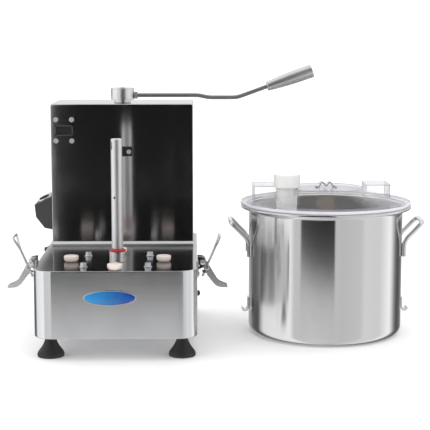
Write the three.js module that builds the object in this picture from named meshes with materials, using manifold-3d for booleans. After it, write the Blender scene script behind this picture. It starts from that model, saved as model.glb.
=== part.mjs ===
// Table-top bowl cutter: a belt-driven machine with an upright motor tower and a swinging lid lever,
// and beside it the lift-off stainless bowl with its clear lid, feed stopper and blade set.
// Millimetres, +Z up. While it is built, X and Y are measured from the drive spindle's axis, with
// the machine's front at -Y; the last lines move the origin to the middle of the footprint.
import * as THREE from "three";
import { mergeVertices } from "three/addons/utils/BufferGeometryUtils.js";
import Module from "manifold-3d";

const wasm = await Module();
wasm.setup();

// ---- Driving dimensions ----
const GAP = 0.3; // between pieces that touch
const SHEET = 2; // stainless sheet of the machine's casing

const BASE = { width: 276, front: -94, back: 318, bottom: 38, top: 154, corner: 34, edge: 3 };
const TOWER = { width: 262, front: 170, back: 318, top: 417, edge: 3 };
const STRIP = { depth: 6, height: 11, lip: 1 }; // the sloping strip at the foot of the tower
const FOOT = { x: 112, front: -52, back: 270, radius: 23.2, neck: 9.5 };
const SPINDLE = { radius: 9.6, bottom: 86, top: 367 };
const COLLAR = { radius: 13.8, top: 172.5 };
const PAD = { radius: 12.6, height: 10.5, circle: 80 };
const NUT = { acrossCorners: 13.5, spacing: 54.5 };
const MOTOR = { y: 245, radius: 58, bottom: 192, top: 385, shaft: 9 };
const PULLEY = { spindle: 45, motor: 28, bottom: 92, top: 114 };
const LEVER = { y: 205, hubRadius: 21.5, hubBottom: 418.4, hubTop: 445.5, rod: 3.75, rodHeight: 431.2 };
const LATCH = { pivotX: 147.5, pivotZ: 154.5, width: 16, link: 2 };
const WINDOW = { x0: -123, x1: -90, z0: 358, z1: 378 }; // high on the left of the tower's front
const SWITCH_BOX = { front: 195, back: 290, out: 166, bottom: 180, outerTop: 226, wallTop: 242 };

const BOWL = { x: 373, y: 132, radius: 140, wall: 1.6, corner: 16, shoulder: 226, rim: 155.5 };
const RIM = { bottom: 231, top: 236.5 };
const TUBE = { inner: 16.5, outer: 18, top: 150 };
const LID = { bottom: 238.7, flangeTop: 242.5, plateau: 69, top: 267, sheet: 3 };
const FEED = { x: -73, y: -26, outer: 22, inner: 19.5, top: 270 };
const POD = { near: 76, corner: 5, top: 269, wall: 2 };
const PODS = {
  left: { side: -1, far: 132, front: 0, back: 66 },
  right: { side: 1, far: 122, front: 16, back: 86 },
};
const HANDLE = { rod: 4, spread: 32, foot: 143, bend: 173, reach: 176, top: 207 };
const BLADE = { reach: 130, root: 32, thickness: 3, heights: [18, 62] };

// ---- Materials ----
function material(color, roughness, metalness, opacity = 1) {
  return new THREE.MeshStandardMaterial({
    color,
    roughness,
    metalness,
    opacity,
    transparent: opacity < 1,
  });
}
const brushedSteel = material(0xc9cbcc, 0.35, 1);
const polishedSteel = material(0xd4d6d8, 0.12, 1);
const zincSteel = material(0xa9abad, 0.4, 1);
const chrome = material(0xe2e4e6, 0.08, 1);
const blackRubber = material(0x141414, 0.8, 0);
const creamPlastic = material(0xe9dcd2, 0.5, 0);
const redRubber = material(0xa30f10, 0.45, 0);
const greyPlastic = material(0x424244, 0.5, 0);
const blackPlastic = material(0x101011, 0.4, 0);
const whitePlastic = material(0xf0f1ee, 0.4, 0);
const clearPlastic = material(0xe9e6f0, 0.1, 0, 0.3);
const blueEnamel = material(0x1465b4, 0.25, 0);
const motorPaint = material(0x3c4650, 0.6, 0.2);
const castAluminium = material(0xb4b6b8, 0.5, 0.9);

// ---- Shape tools ----
const QUARTER_TURN = Math.PI / 2;

// A closed geometry as a manifold-3d solid.
function solidOf(geometry) {
  const loose = geometry.index ? geometry.toNonIndexed() : geometry.clone();
  loose.deleteAttribute("normal");
  loose.deleteAttribute("uv");
  const merged = mergeVertices(loose, 1e-4);
  const index = merged.index.array;
  const triVerts = [];
  for (let i = 0; i < index.length; i += 3) {
    const [a, b, c] = [index[i], index[i + 1], index[i + 2]];
    if (a !== b && b !== c && c !== a) triVerts.push(a, b, c);
  }
  const mesh = new wasm.Mesh({
    numProp: 3,
    vertProperties: merged.attributes.position.array,
    triVerts: new Uint32Array(triVerts),
  });
  return new wasm.Manifold(mesh);
}

function geometryOf(solid) {
  const mesh = solid.getMesh();
  const geometry = new THREE.BufferGeometry();
  geometry.setAttribute("position", new THREE.BufferAttribute(mesh.vertProperties, 3));
  geometry.setIndex(new THREE.BufferAttribute(mesh.triVerts, 1));
  const faceted = geometry.toNonIndexed();
  faceted.computeVertexNormals();
  return faceted;
}

function cut(geometry, ...tools) {
  return geometryOf(tools.reduce((rest, tool) => rest.subtract(solidOf(tool)), solidOf(geometry)));
}

function join(geometry, ...others) {
  return geometryOf(others.reduce((sum, other) => sum.add(solidOf(other)), solidOf(geometry)));
}

function block(x0, x1, y0, y1, z0, z1) {
  const box = new THREE.BoxGeometry(x1 - x0, y1 - y0, z1 - z0);
  return box.translate((x0 + x1) / 2, (y0 + y1) / 2, (z0 + z1) / 2);
}

// An upright cylinder.
function disc(radius, low, high, sides = 20) {
  const cylinder = new THREE.CylinderGeometry(radius, radius, high - low, sides);
  return cylinder.rotateX(QUARTER_TURN).translate(0, 0, (low + high) / 2);
}

// A solid turned about Z. The profile is a list of [radius, height] that closes on itself or runs
// from the axis to the axis; walked with the material on its left it faces outwards.
function turned(profile, sides = 20) {
  const points = profile.map(([radius, height]) => new THREE.Vector2(radius, height));
  if (THREE.ShapeUtils.area(points) < 0) points.reverse();
  return new THREE.LatheGeometry(points, sides).rotateX(QUARTER_TURN);
}

// Points of a circular arc in a profile, from one angle to another in quarter turns.
function arc(centreRadius, centreHeight, radius, from, to, steps) {
  return Array.from({ length: steps + 1 }, (_, i) => {
    const angle = (from + ((to - from) * i) / steps) * QUARTER_TURN;
    return [centreRadius + radius * Math.cos(angle), centreHeight + radius * Math.sin(angle)];
  });
}

function outline(points) {
  return new THREE.Shape(points.map(([x, y]) => new THREE.Vector2(x, y)));
}

// A rectangle with its own corner radius at the front (low y) and at the back.
function roundedRectangle(x0, x1, y0, y1, front, back) {
  const shape = new THREE.Shape();
  shape.absarc(x0 + front, y0 + front, front, 2 * QUARTER_TURN, 3 * QUARTER_TURN);
  shape.absarc(x1 - front, y0 + front, front, 3 * QUARTER_TURN, 4 * QUARTER_TURN);
  shape.absarc(x1 - back, y1 - back, back, 0, QUARTER_TURN);
  shape.absarc(x0 + back, y1 - back, back, QUARTER_TURN, 2 * QUARTER_TURN);
  return shape;
}

// A shape extruded upwards, with its upper and lower edges rounded where edge is given.
function slab(shape, low, high, edge = 0, curveSegments = 2) {
  const extruded = new THREE.ExtrudeGeometry(shape, {
    depth: high - low - 2 * edge,
    bevelEnabled: edge > 0,
    bevelThickness: edge,
    bevelSize: edge,
    bevelOffset: -edge,
    bevelSegments: 2,
    curveSegments,
  });
  return extruded.translate(0, 0, low + edge);
}

// A shape drawn in X and Z, extruded along Y from y0 to y1.
function slabAlongY(shape, y0, y1, edge = 0, curveSegments = 2) {
  return slab(shape, -y1, -y0, edge, curveSegments).rotateX(QUARTER_TURN);
}

// A path of straight runs joined by bends.
function bentPath(points, bend) {
  const corners = points.map((point) => new THREE.Vector3(...point));
  const path = new THREE.CurvePath();
  let from = corners[0];
  for (let i = 1; i < corners.length - 1; i += 1) {
    const before = corners[i - 1].clone().sub(corners[i]).setLength(bend).add(corners[i]);
    const after = corners[i + 1].clone().sub(corners[i]).setLength(bend).add(corners[i]);
    path.add(new THREE.LineCurve3(from, before));
    path.add(new THREE.QuadraticBezierCurve3(before, corners[i], after));
    from = after;
  }
  path.add(new THREE.LineCurve3(from, corners.at(-1)));
  return path;
}

// A round bar along a bent path.
function bar(points, radius, bend, steps, halfSides = 4) {
  const section = new THREE.Shape().absarc(0, 0, radius, 0, 4 * QUARTER_TURN);
  return new THREE.ExtrudeGeometry(section, {
    steps,
    curveSegments: halfSides,
    bevelEnabled: false,
    extrudePath: bentPath(points, bend),
  });
}

// ---- The assembly ----
const part = new THREE.Group();

function place(name, geometry, finish, x = 0, y = 0, z = 0, turn = 0) {
  const mesh = new THREE.Mesh(geometry, finish);
  mesh.name = name;
  mesh.position.set(x, y, z);
  mesh.rotation.z = turn;
  part.add(mesh);
}

// ---- Machine: casing ----
function baseHousing() {
  const half = BASE.width / 2;
  const outer = roundedRectangle(-half, half, BASE.front, BASE.back, BASE.corner, 8);
  const inner = roundedRectangle(
    -half + SHEET,
    half - SHEET,
    BASE.front + SHEET,
    BASE.back - SHEET,
    BASE.corner - SHEET,
    6,
  );
  const beltSlot = disc(PULLEY.motor + 6, BASE.top - 10, BASE.top + 1).translate(0, MOTOR.y, 0);
  const spindleHole = disc(COLLAR.radius - 2.5, BASE.top - 10, BASE.top + 1);
  return cut(
    slab(outer, BASE.bottom, BASE.top, BASE.edge),
    slab(inner, BASE.bottom - 1, BASE.top - SHEET),
    beltSlot,
    spindleHole,
  );
}

function baseBottomPlate() {
  const half = BASE.width / 2 - SHEET - GAP;
  const front = BASE.front + SHEET + GAP;
  const back = BASE.back - SHEET - GAP;
  const shape = roundedRectangle(-half, half, front, back, BASE.corner - SHEET - GAP, 6);
  const low = BASE.bottom + GAP;
  const slots = [];
  for (let i = -3; i <= 3; i += 1) {
    slots.push(block(i * 16 - 3, i * 16 + 3, 90, 150, low - 1, low + SHEET + 1));
  }
  return cut(slab(shape, low, low + SHEET), ...slots);
}

// Folded sheet: front, sides and top. Open below and behind.
function towerHousing() {
  const half = TOWER.width / 2;
  const bottom = BASE.top + GAP;
  const corner = TOWER.edge + 1;
  const face = roundedRectangle(-half, half, bottom - 9, TOWER.top, corner, corner);
  const shell = slabAlongY(face, TOWER.front, TOWER.back + 6, TOWER.edge);
  const behind = TOWER.back - SHEET - GAP;
  const low = bottom - 20;
  const cavity = block(-half + SHEET, half - SHEET, TOWER.front + SHEET, 400, low, TOWER.top - SHEET);
  const opening = block(WINDOW.x0, WINDOW.x1, TOWER.front - 9, TOWER.front + 9, WINDOW.z0, WINDOW.z1);
  const bore = disc(12, TOWER.top - 6, TOWER.top + 6).translate(0, LEVER.y, 0);
  return cut(
    shell,
    cavity,
    block(-half - 9, half + 9, behind, 400, low, TOWER.top + 9),
    block(-half - 9, half + 9, TOWER.front - 9, 400, low, bottom),
    opening,
    bore,
  );
}

// The black window of the lid sensor, set in from behind.
function sensorWindow() {
  const { x0, x1, z0, z1 } = WINDOW;
  const inside = TOWER.front + SHEET + GAP;
  const flange = block(x0 - 4, x1 + 4, inside, inside + 3, z0 - 4, z1 + 4);
  const glass = block(x0 + GAP, x1 - GAP, TOWER.front + 1, inside + 1, z0 + GAP, z1 - GAP);
  return join(flange, glass);
}

function towerBackCover() {
  const half = TOWER.width / 2;
  const low = BASE.top + GAP;
  const slots = [];
  for (let row = 0; row < 6; row += 1) {
    const z = 205 + row * 14;
    slots.push(block(-70, 70, TOWER.back - 9, TOWER.back + 9, z, z + 5));
  }
  return cut(block(-half, half, TOWER.back - SHEET, TOWER.back, low, TOWER.top), ...slots);
}

// The strip that leads the deck up into the tower's front.
function footStrip() {
  const back = TOWER.front - GAP;
  const front = back - STRIP.depth;
  const low = BASE.top + GAP;
  const high = low + STRIP.height;
  const corners = [[front, low], [back, low], [back, high], [back - STRIP.lip, high]];
  const section = outline([...corners, [front, low + STRIP.lip]]);
  const half = TOWER.width / 2;
  // The section is drawn in Y and Z, so the extrusion turns to run along X.
  const strip = slab(section, -half, half);
  return strip.rotateX(QUARTER_TURN).rotateZ(QUARTER_TURN);
}

function foot() {
  return turned(
    [
      [0, 0],
      [FOOT.radius - 1.5, 0],
      [FOOT.radius, 2],
      [FOOT.radius, 5],
      [FOOT.radius - 0.9, 7.6],
      [14.2, 18.5],
      [FOOT.neck, 28.5],
      [FOOT.neck, BASE.bottom - GAP],
      [0, BASE.bottom - GAP],
    ],
    16,
  );
}

place("base_housing", baseHousing(), brushedSteel);
place("base_bottom_plate", baseBottomPlate(), brushedSteel);
place("tower_housing", towerHousing(), polishedSteel);
place("tower_back_cover", towerBackCover(), brushedSteel);
place("tower_foot_strip", footStrip(), brushedSteel);
place("lid_sensor_window", sensorWindow(), blackPlastic);
for (const [row, y] of [["front", FOOT.front], ["rear", FOOT.back]]) {
  for (const [side, x] of [["left", -FOOT.x], ["right", FOOT.x]]) {
    place(`foot_${row}_${side}`, foot(), blackRubber, x, y);
  }
}

// ---- Machine: deck fittings ----
function bowlPad() {
  const { radius, height } = PAD;
  return turned(
    [
      [0, 0],
      [radius - 0.6, 0],
      [radius, 1],
      ...arc(radius - 2.5, height - 2.5, 2.5, 0, 1, 3),
      [radius - 5, height - 0.8],
      [0, height - 0.8],
    ],
    16,
  );
}

function deckNut() {
  const radius = NUT.acrossCorners / 2;
  const hexagon = disc(radius, 0, 3, 6);
  const dome = turned([[0, 2], [radius * 0.8, 2], ...arc(0, 2.4, radius * 0.8, 0.1, 1, 3)], 12);
  return join(hexagon, dome);
}

const PAD_PLACES = [["front", 0, -1], ["rear", 0, 1], ["left", -1, 0], ["right", 1, 0]];
for (const [side, x, y] of PAD_PLACES) {
  place(`bowl_pad_${side}`, bowlPad(), creamPlastic, x * PAD.circle, y * PAD.circle, BASE.top + GAP);
}
for (const [row, y] of [["front", -NUT.spacing], ["rear", NUT.spacing]]) {
  for (const [side, x] of [["left", -NUT.spacing], ["right", NUT.spacing]]) {
    place(`deck_nut_${row}_${side}`, deckNut(), chrome, x, y, BASE.top + GAP);
  }
}

// ---- Machine: spindle bearing and belt drive ----
const SPINDLE_BORE = SPINDLE.radius + GAP;
const KEYWAY_TURN = THREE.MathUtils.degToRad(213); // at the left of the spindle, towards the front

function shaftCollar() {
  const low = BASE.top + GAP;
  const { radius, top } = COLLAR;
  const groove = low + 6;
  return turned([
    [SPINDLE_BORE, low],
    [radius - 0.8, low],
    [radius - 0.8, groove],
    [radius - 1.8, groove + 0.6],
    [radius, groove + 1.6],
    [radius, top - 1],
    [radius - 1, top],
    [SPINDLE_BORE, top],
    [SPINDLE_BORE, low],
  ]);
}

// A lip seal: a cone that closes on the spindle.
function shaftSeal() {
  const low = COLLAR.top + GAP;
  return turned([
    [SPINDLE_BORE, low],
    [COLLAR.radius + 0.7, low],
    [COLLAR.radius + 0.2, low + 1.6],
    [SPINDLE_BORE + 0.8, low + 5],
    [SPINDLE_BORE, low + 5],
    [SPINDLE_BORE, low],
  ]);
}

function bearingHousing() {
  const top = BASE.top - SHEET - GAP;
  const bottom = PULLEY.top + 6;
  return turned([
    [SPINDLE_BORE, bottom],
    [30, bottom],
    [32, bottom + 2],
    [32, top - 5],
    [48, top - 5],
    [48, top],
    [SPINDLE_BORE, top],
    [SPINDLE_BORE, bottom],
  ]);
}

function spindle() {
  const { radius, bottom, top } = SPINDLE;
  const shaft = turned(
    [[0, bottom], [radius, bottom], [radius, top - 1.5], [radius - 1.5, top], [0, top]],
    24,
  );
  const keyway = block(radius - 3, radius + 1, -2.2, 2.2, top - 18, top - 5);
  return cut(shaft, keyway.rotateZ(KEYWAY_TURN));
}

// A flat-belt pulley with two flanges round a bore.
function pulley(radius, bore) {
  const { bottom, top } = PULLEY;
  return turned([
    [bore, bottom],
    [radius + 3, bottom],
    [radius + 3, bottom + 2],
    [radius, bottom + 3],
    [radius, top - 3],
    [radius + 3, top - 2],
    [radius + 3, top],
    [bore, top],
    [bore, bottom],
  ]);
}

// The belt's outline round both pulleys, a distance outside their faces.
function beltOutline(clear) {
  const big = PULLEY.spindle + clear;
  const small = PULLEY.motor + clear;
  const lean = Math.asin((big - small) / MOTOR.y);
  const shape = new THREE.Shape();
  shape.absarc(0, MOTOR.y, small, lean, 2 * QUARTER_TURN - lean);
  shape.absarc(0, 0, big, 2 * QUARTER_TURN - lean, 4 * QUARTER_TURN + lean);
  return shape;
}

function driveBelt() {
  const low = PULLEY.bottom + 4;
  const high = PULLEY.top - 4;
  const outer = slab(beltOutline(2.9), low, high, 0, 8);
  return cut(outer, slab(beltOutline(0.4), low - 1, high + 1, 0, 8));
}

place("shaft_collar", shaftCollar(), polishedSteel);
place("shaft_seal", shaftSeal(), redRubber);
place("spindle_bearing_housing", bearingHousing(), castAluminium);
place("drive_spindle", spindle(), polishedSteel);
place("spindle_pulley", pulley(PULLEY.spindle, SPINDLE.radius + GAP), castAluminium);
place("drive_belt", driveBelt(), blackRubber);

// ---- Machine: motor ----
function motorBody() {
  const { radius, bottom, top, shaft } = MOTOR;
  const can = turned([[0, bottom], [radius, bottom], [radius, top - 12], [radius - 12, top], [0, top]]);
  const bore = disc(shaft + 1, bottom - 1, bottom + 41, 24);
  return cut(can, bore);
}

function motorPlate() {
  const { bottom } = MOTOR;
  const plate = block(-100, 100, -62, 62, bottom - 8, bottom - GAP);
  return cut(plate, disc(18, bottom - 9, bottom + 1, 24));
}

function motorRotor() {
  const shaft = disc(MOTOR.shaft, PULLEY.bottom - 4, MOTOR.bottom + 40, 24);
  return join(pulley(PULLEY.motor, MOTOR.shaft - 1), shaft);
}

place("motor_body", motorBody(), motorPaint, 0, MOTOR.y);
place("motor_plate", motorPlate(), zincSteel, 0, MOTOR.y);
place("motor_shaft_pulley", motorRotor(), castAluminium, 0, MOTOR.y);
place("run_capacitor", disc(17, 200, 270, 24), blackPlastic, 98, 285);

// ---- Machine: switch box, plugs and badge ----
const SWITCH_SLOPE = Math.atan2(
  SWITCH_BOX.wallTop - SWITCH_BOX.outerTop,
  SWITCH_BOX.out - TOWER.width / 2,
);

function switchBox() {
  const { front, back, out, bottom, outerTop, wallTop } = SWITCH_BOX;
  const wall = -TOWER.width / 2 - GAP;
  const profile = outline([
    [wall, bottom],
    [-out + 18, bottom + 3],
    [-out + 2, bottom + 24],
    [-out, outerTop],
    [wall, wallTop],
  ]);
  const body = slabAlongY(profile, front, back);
  const wells = BUTTONS.map(([, y]) => alongSlope(disc(11, -14, 9, 24), y));
  return cut(body, ...wells);
}

// Moves a geometry made round Z at the origin onto the switch box's sloping top.
const SLOPE_MIDDLE = {
  x: -(SWITCH_BOX.out + TOWER.width / 2 + GAP) / 2,
  z: (SWITCH_BOX.outerTop + SWITCH_BOX.wallTop) / 2,
};
function alongSlope(geometry, y) {
  return geometry.rotateY(-SWITCH_SLOPE).translate(SLOPE_MIDDLE.x, y, SLOPE_MIDDLE.z);
}

const BUTTONS = [
  ["stop_button", 220],
  ["start_button", 262],
];

function pushButton() {
  return turned([[0, -6], [10.2, -6], [10.2, 4], [9, 5.4], [0, 5.4]], 24);
}

place("switch_box", switchBox(), greyPlastic);
place("stop_button", alongSlope(pushButton(), BUTTONS[0][1]), blackPlastic);
place("start_button", alongSlope(pushButton(), BUTTONS[1][1]), whitePlastic);

// A round cap on a side wall, with its axis along X.
function sideCap(radius, proud) {
  const profile = [[0, 0], [radius, 0], [radius, proud * 0.4], [radius * 0.5, proud], [0, proud]];
  return turned(profile, 20).rotateY(QUARTER_TURN);
}

function cableGland() {
  const nut = disc(11, 0, 6, 6);
  const neck = turned([[0, 5], [9, 5], [9, 10], [6.5, 15], [0, 15]], 20);
  return cut(join(nut, neck), disc(3.8, 2, 16, 16)).rotateX(-QUARTER_TURN);
}

// A black block behind the spindle that guards the bowl sensor.
function sensorBlock() {
  const plate = roundedRectangle(-19, 19, 321, 338, 3, 3);
  return slabAlongY(plate, TOWER.front - GAP - 7, TOWER.front - GAP, 1);
}

function badge() {
  const oval = new THREE.Shape().absellipse(-8, 109, 44, 13, 0, 4 * QUARTER_TURN);
  return slabAlongY(oval, BASE.front - GAP - 1.2, BASE.front - GAP, 0, 14);
}

place("bowl_sensor_block", sensorBlock(), blackPlastic);
place("side_plug", sideCap(5, 4.7), blackPlastic, BASE.width / 2 + GAP, 0, 98);
const leftWall = -BASE.width / 2 - GAP;
place("overload_reset", sideCap(4.6, 9).rotateZ(2 * QUARTER_TURN), blackPlastic, leftWall, 180, 145);
place("cable_gland", cableGland(), blackPlastic, 95, BASE.back + GAP, 75);
place("badge", badge(), blueEnamel);

// ---- Lid lever on the tower's top ----
const FLAT = 427; // height of the lever's pressing stretch
const GRIP = { from: [268, 447], to: [353, 476.5], thin: 9, thick: 12.4 };

function leverBush() {
  const top = LEVER.hubBottom - GAP;
  return turned([
    [0, TOWER.top - 22],
    [11, TOWER.top - 22],
    [11, TOWER.top + GAP],
    [16, TOWER.top + GAP],
    [16, top],
    [0, top],
  ]);
}

function leverHub() {
  const { hubRadius, hubBottom, hubTop } = LEVER;
  return turned([
    [0, hubBottom],
    [hubRadius - 1, hubBottom],
    [hubRadius, hubBottom + 1],
    [hubRadius, hubTop - 2],
    [hubRadius - 2, hubTop],
    [0, hubTop],
  ]);
}

function leverNut() {
  const { hubRadius, rod, rodHeight } = LEVER;
  const start = hubRadius + GAP;
  const nut = disc(7.5, start, start + 6, 6).rotateY(QUARTER_TURN);
  const bore = disc(rod + GAP, start - 1, start + 7, 20).rotateY(QUARTER_TURN);
  return cut(nut, bore).translate(0, 0, rodHeight);
}

function leverRod() {
  const { hubRadius, rod, rodHeight } = LEVER;
  const points = [
    [hubRadius + GAP, 0, rodHeight],
    [142, 0, rodHeight],
    [160, 0, FLAT],
    [213, 0, FLAT],
    [GRIP.from[0], 0, GRIP.from[1]],
  ];
  return bar(points, rod, 6, 22);
}

function leverGrip() {
  const [x0, z0] = GRIP.from;
  const [x1, z1] = GRIP.to;
  const length = Math.hypot(x1 - x0, z1 - z0);
  const { thin, thick } = GRIP;
  const grip = turned(
    [
      [0, GAP],
      [thin - 1, GAP],
      [thin, GAP + 1],
      [thin + 1.4, length * 0.2],
      [thick - 0.6, length * 0.42],
      [thick, length * 0.6],
      [thick, length - 2],
      [thick - 2, length],
      [0, length],
    ],
    24,
  );
  const rise = Math.atan2(z1 - z0, x1 - x0);
  return grip.rotateY(QUARTER_TURN - rise).translate(x0, 0, z0);
}

place("lever_bush", leverBush(), zincSteel, 0, LEVER.y);
place("lever_hub", leverHub(), chrome, 0, LEVER.y);
place("lever_nut", leverNut(), zincSteel, 0, LEVER.y);
place("lever_rod", leverRod(), chrome, 0, LEVER.y);
place("lever_grip", leverGrip(), polishedSteel, 0, LEVER.y);

// ---- Bowl latches on the base's side walls; drawn for the right side and turned for the left ----
function latchBracket() {
  const wall = BASE.width / 2 + GAP;
  const half = LATCH.width / 2;
  const plate = block(wall, wall + 2, -14, 14, 127, 158);
  const ear = outline([
    [wall, 140],
    [LATCH.pivotX + 3, 146],
    [LATCH.pivotX + 6, LATCH.pivotZ],
    [LATCH.pivotX + 3, LATCH.pivotZ + 8],
    [wall, 164],
  ]);
  const ears = [-1, 1].map((side) => {
    const inner = side * (half + GAP);
    return slabAlongY(ear, Math.min(inner, inner + side * 2), Math.max(inner, inner + side * 2));
  });
  const pin = disc(2.5, -half - 3.6, half + 3.6, 16).rotateX(QUARTER_TURN);
  return join(plate, ...ears, pin.translate(LATCH.pivotX, 0, LATCH.pivotZ));
}

// A channel-shaped lever with a turned-out tip.
function latchLever() {
  const spine = [[LATCH.pivotX, LATCH.pivotZ], [155, 143], [172, 115], [190, 110]];
  const half = 4.8;
  const upper = [
    [LATCH.pivotX - 2, LATCH.pivotZ + half],
    [LATCH.pivotX + 4.6, LATCH.pivotZ + 2],
    [spine[1][0] + half, spine[1][1] + 1.5],
    [spine[2][0] + 2.2, spine[2][1] + half],
    [spine[3][0], spine[3][1] + half - 1],
  ];
  const lower = [
    [spine[3][0], spine[3][1] - 1],
    [spine[2][0] - 1, spine[2][1] - half],
    [spine[1][0] - half, spine[1][1] - 2.2],
    [LATCH.pivotX - 4.6, LATCH.pivotZ - 3],
  ];
  const side = outline([...upper, ...lower]);
  const body = slabAlongY(side, -LATCH.width / 2, LATCH.width / 2);
  const slot = block(LATCH.pivotX - 20, 210, -5.4, 5.4, 90, 200);
  const web = outline([
    [lower[2][0] + 6, lower[2][1] - 8],
    [lower[1][0] + 1.6, lower[1][1] + 1.6],
    [lower[0][0] + 1, lower[0][1] + 1.6],
    lower[0],
    lower[1],
    [lower[2][0] + 4, lower[2][1] - 9],
  ]);
  const pinHole = disc(2.5 + GAP, -20, 20, 16).rotateX(QUARTER_TURN);
  const rivet = disc(2.6, -LATCH.width / 2 - 1.2, LATCH.width / 2 + 1.2, 16).rotateX(QUARTER_TURN);
  return cut(
    join(
      cut(body, slot),
      slabAlongY(web, -6.4, 6.4),
      rivet.translate(spine[1][0], 0, spine[1][1]),
    ),
    pinHole.translate(LATCH.pivotX, 0, LATCH.pivotZ),
  );
}

// A bail on a threaded stem, which hangs on the lever's cross rivet.
function latchBail() {
  const foot = [147, 0, 127.6];
  const split = [168.8, 0, 178.7];
  const eye = disc(5, -2.6, 2.6, 18).rotateX(QUARTER_TURN).translate(155, 0, 143);
  const hole = disc(2.6 + GAP, -9, 9, 18).rotateX(QUARTER_TURN).translate(155, 0, 143);
  const stem = bar([foot, split], LATCH.link + 0.4, 1, 2);
  const loop = bar(
    [split, [175.5, -19, 195], [176.8, -17, 199.6], [176.8, 17, 199.6], [175.5, 19, 195], split],
    LATCH.link,
    2,
    22,
    3,
  );
  return cut(join(stem, eye, loop), hole);
}

for (const [side, turn] of [["right", 0], ["left", 2 * QUARTER_TURN]]) {
  place(`latch_bracket_${side}`, latchBracket(), zincSteel, 0, 0, 0, turn);
  place(`latch_lever_${side}`, latchLever(), zincSteel, 0, 0, 0, turn);
  place(`latch_bail_${side}`, latchBail(), zincSteel, 0, 0, 0, turn);
}

// ---- Bowl ----
function bowlShell() {
  const { radius, wall, corner, shoulder, rim } = BOWL;
  const inside = radius - wall;
  return turned(
    [
      [TUBE.inner, 0],
      ...arc(radius - corner, corner, corner, -1, 0, 4),
      [radius, shoulder],
      [radius + 3, RIM.bottom - 1],
      [rim - 2, RIM.bottom],
      [rim, RIM.bottom + 2],
      [rim, RIM.top - 2],
      [rim - 2, RIM.top],
      [inside + 1, RIM.top],
      [inside, RIM.top - 1],
      ...arc(inside - corner, wall + corner, corner, 0, -1, 4),
      [TUBE.outer, wall],
      [TUBE.outer, TUBE.top],
      [TUBE.inner, TUBE.top],
      [TUBE.inner, 0],
    ],
    36,
  );
}

function bowlHandle() {
  const { rod, spread, foot: low, bend, reach, top } = HANDLE;
  const wallX = Math.sqrt((BOWL.radius + rod + GAP) ** 2 - spread ** 2);
  const leg = (side) => [
    [wallX, side * spread, low],
    [wallX, side * spread, bend],
    [reach - 2, side * spread, top],
  ];
  return bar([...leg(-1), ...leg(1).reverse()], rod, 9, 24);
}

// A J-shaped catch that opens upwards, for the latch bail.
function bowlCatch() {
  const start = BOWL.radius + GAP;
  const thickness = 2.4;
  const centre = start + 6.6;
  const outer = arc(centre, 45, 6.6, -2, 0, 6);
  const inner = arc(centre, 45, 6.6 - thickness, 0, -2, 6);
  const hook = outline([[start, 64], ...outer, ...inner, [start + thickness, 64]]);
  return slabAlongY(hook, -11, 11);
}

place("bowl_shell", bowlShell(), polishedSteel, BOWL.x, BOWL.y);
for (const [side, turn] of [["right", 0], ["left", 2 * QUARTER_TURN]]) {
  place(`bowl_handle_${side}`, bowlHandle(), polishedSteel, BOWL.x, BOWL.y, 0, turn);
  place(`bowl_catch_${side}`, bowlCatch(), brushedSteel, BOWL.x, BOWL.y, 0, turn);
}

// ---- Blade set inside the bowl ----
function bladeHub() {
  return turned([
    [0, 205],
    [SPINDLE_BORE + 0.5, 205],
    [SPINDLE_BORE + 0.5, 160],
    [TUBE.outer + 1, 156],
    [TUBE.outer + 1, 12],
    [25, 12],
    [25, 150],
    [17, 162],
    [17, 200],
    [12, 214],
    [0, 214],
  ]);
}

// Two sickle arms on a ring. Each arm sweeps back as it runs out to its tip.
function blade() {
  const { reach, root, thickness } = BLADE;
  const steps = 8;
  const arm = (start) => {
    const edge = (lag, width) =>
      Array.from({ length: steps + 1 }, (_, i) => {
        const share = i / steps;
        const radius = root - 4 + (reach - root + 4) * share;
        const angle = start - lag * share ** 1.5 - width * (1 - share) ** 0.6;
        return [radius * Math.cos(angle), radius * Math.sin(angle)];
      });
    return slab(outline([...edge(1.1, 0.5), ...edge(1.1, -0.15).reverse().slice(1)]), 0, thickness);
  };
  const ring = disc(root + 2, 0, thickness, 24);
  return cut(join(ring, arm(0), arm(2 * QUARTER_TURN)), disc(25 + 2 * GAP, -1, thickness + 1, 24));
}

place("blade_hub", bladeHub(), whitePlastic, BOWL.x, BOWL.y);
place("blade_lower", blade(), polishedSteel, BOWL.x, BOWL.y, BLADE.heights[0], 0.6);
place("blade_upper", blade(), polishedSteel, BOWL.x, BOWL.y, BLADE.heights[1], 0.6 + QUARTER_TURN);

// ---- Lid ----
function lidCover() {
  const { bottom, flangeTop, plateau, top, sheet } = LID;
  const dome = turned(
    [
      [0, top - sheet],
      [plateau - 2, top - sheet],
      [128, bottom],
      [BOWL.rim - 1, bottom],
      [BOWL.rim, bottom + 1],
      [BOWL.rim, flangeTop - 1],
      [BOWL.rim - 1, flangeTop],
      [129, flangeTop],
      [plateau, top],
      [0, top],
    ],
    36,
  );
  // A pod is a box that stands on the dome and is open to the bowl below.
  const pod = ({ side, far, front, back }, inset, low, high) => {
    const [x0, x1] = side < 0 ? [-far, -POD.near] : [POD.near, far];
    const corner = POD.corner - inset;
    const ends = [front + inset, back - inset];
    return slab(roundedRectangle(x0 + inset, x1 - inset, ...ends, corner, corner), low, high);
  };
  const places = Object.values(PODS);
  const pods = places.map((at) => pod(at, 0, bottom + 1, POD.top));
  const hollows = places.map((at) => pod(at, POD.wall, bottom - 9, POD.top - POD.wall));
  const tube = disc(FEED.outer, bottom + 1, FEED.top, 32).translate(FEED.x, FEED.y, 0);
  const mouth = disc(FEED.inner, bottom - 9, FEED.top + 1, 32).translate(FEED.x, FEED.y, 0);
  return cut(join(dome, ...pods, tube), ...hollows, mouth);
}

function lidGasket() {
  const low = RIM.top + GAP;
  const high = LID.bottom - GAP;
  return turned([[145, low], [152, low], [152, high], [145, high], [145, low]], 36);
}

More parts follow.
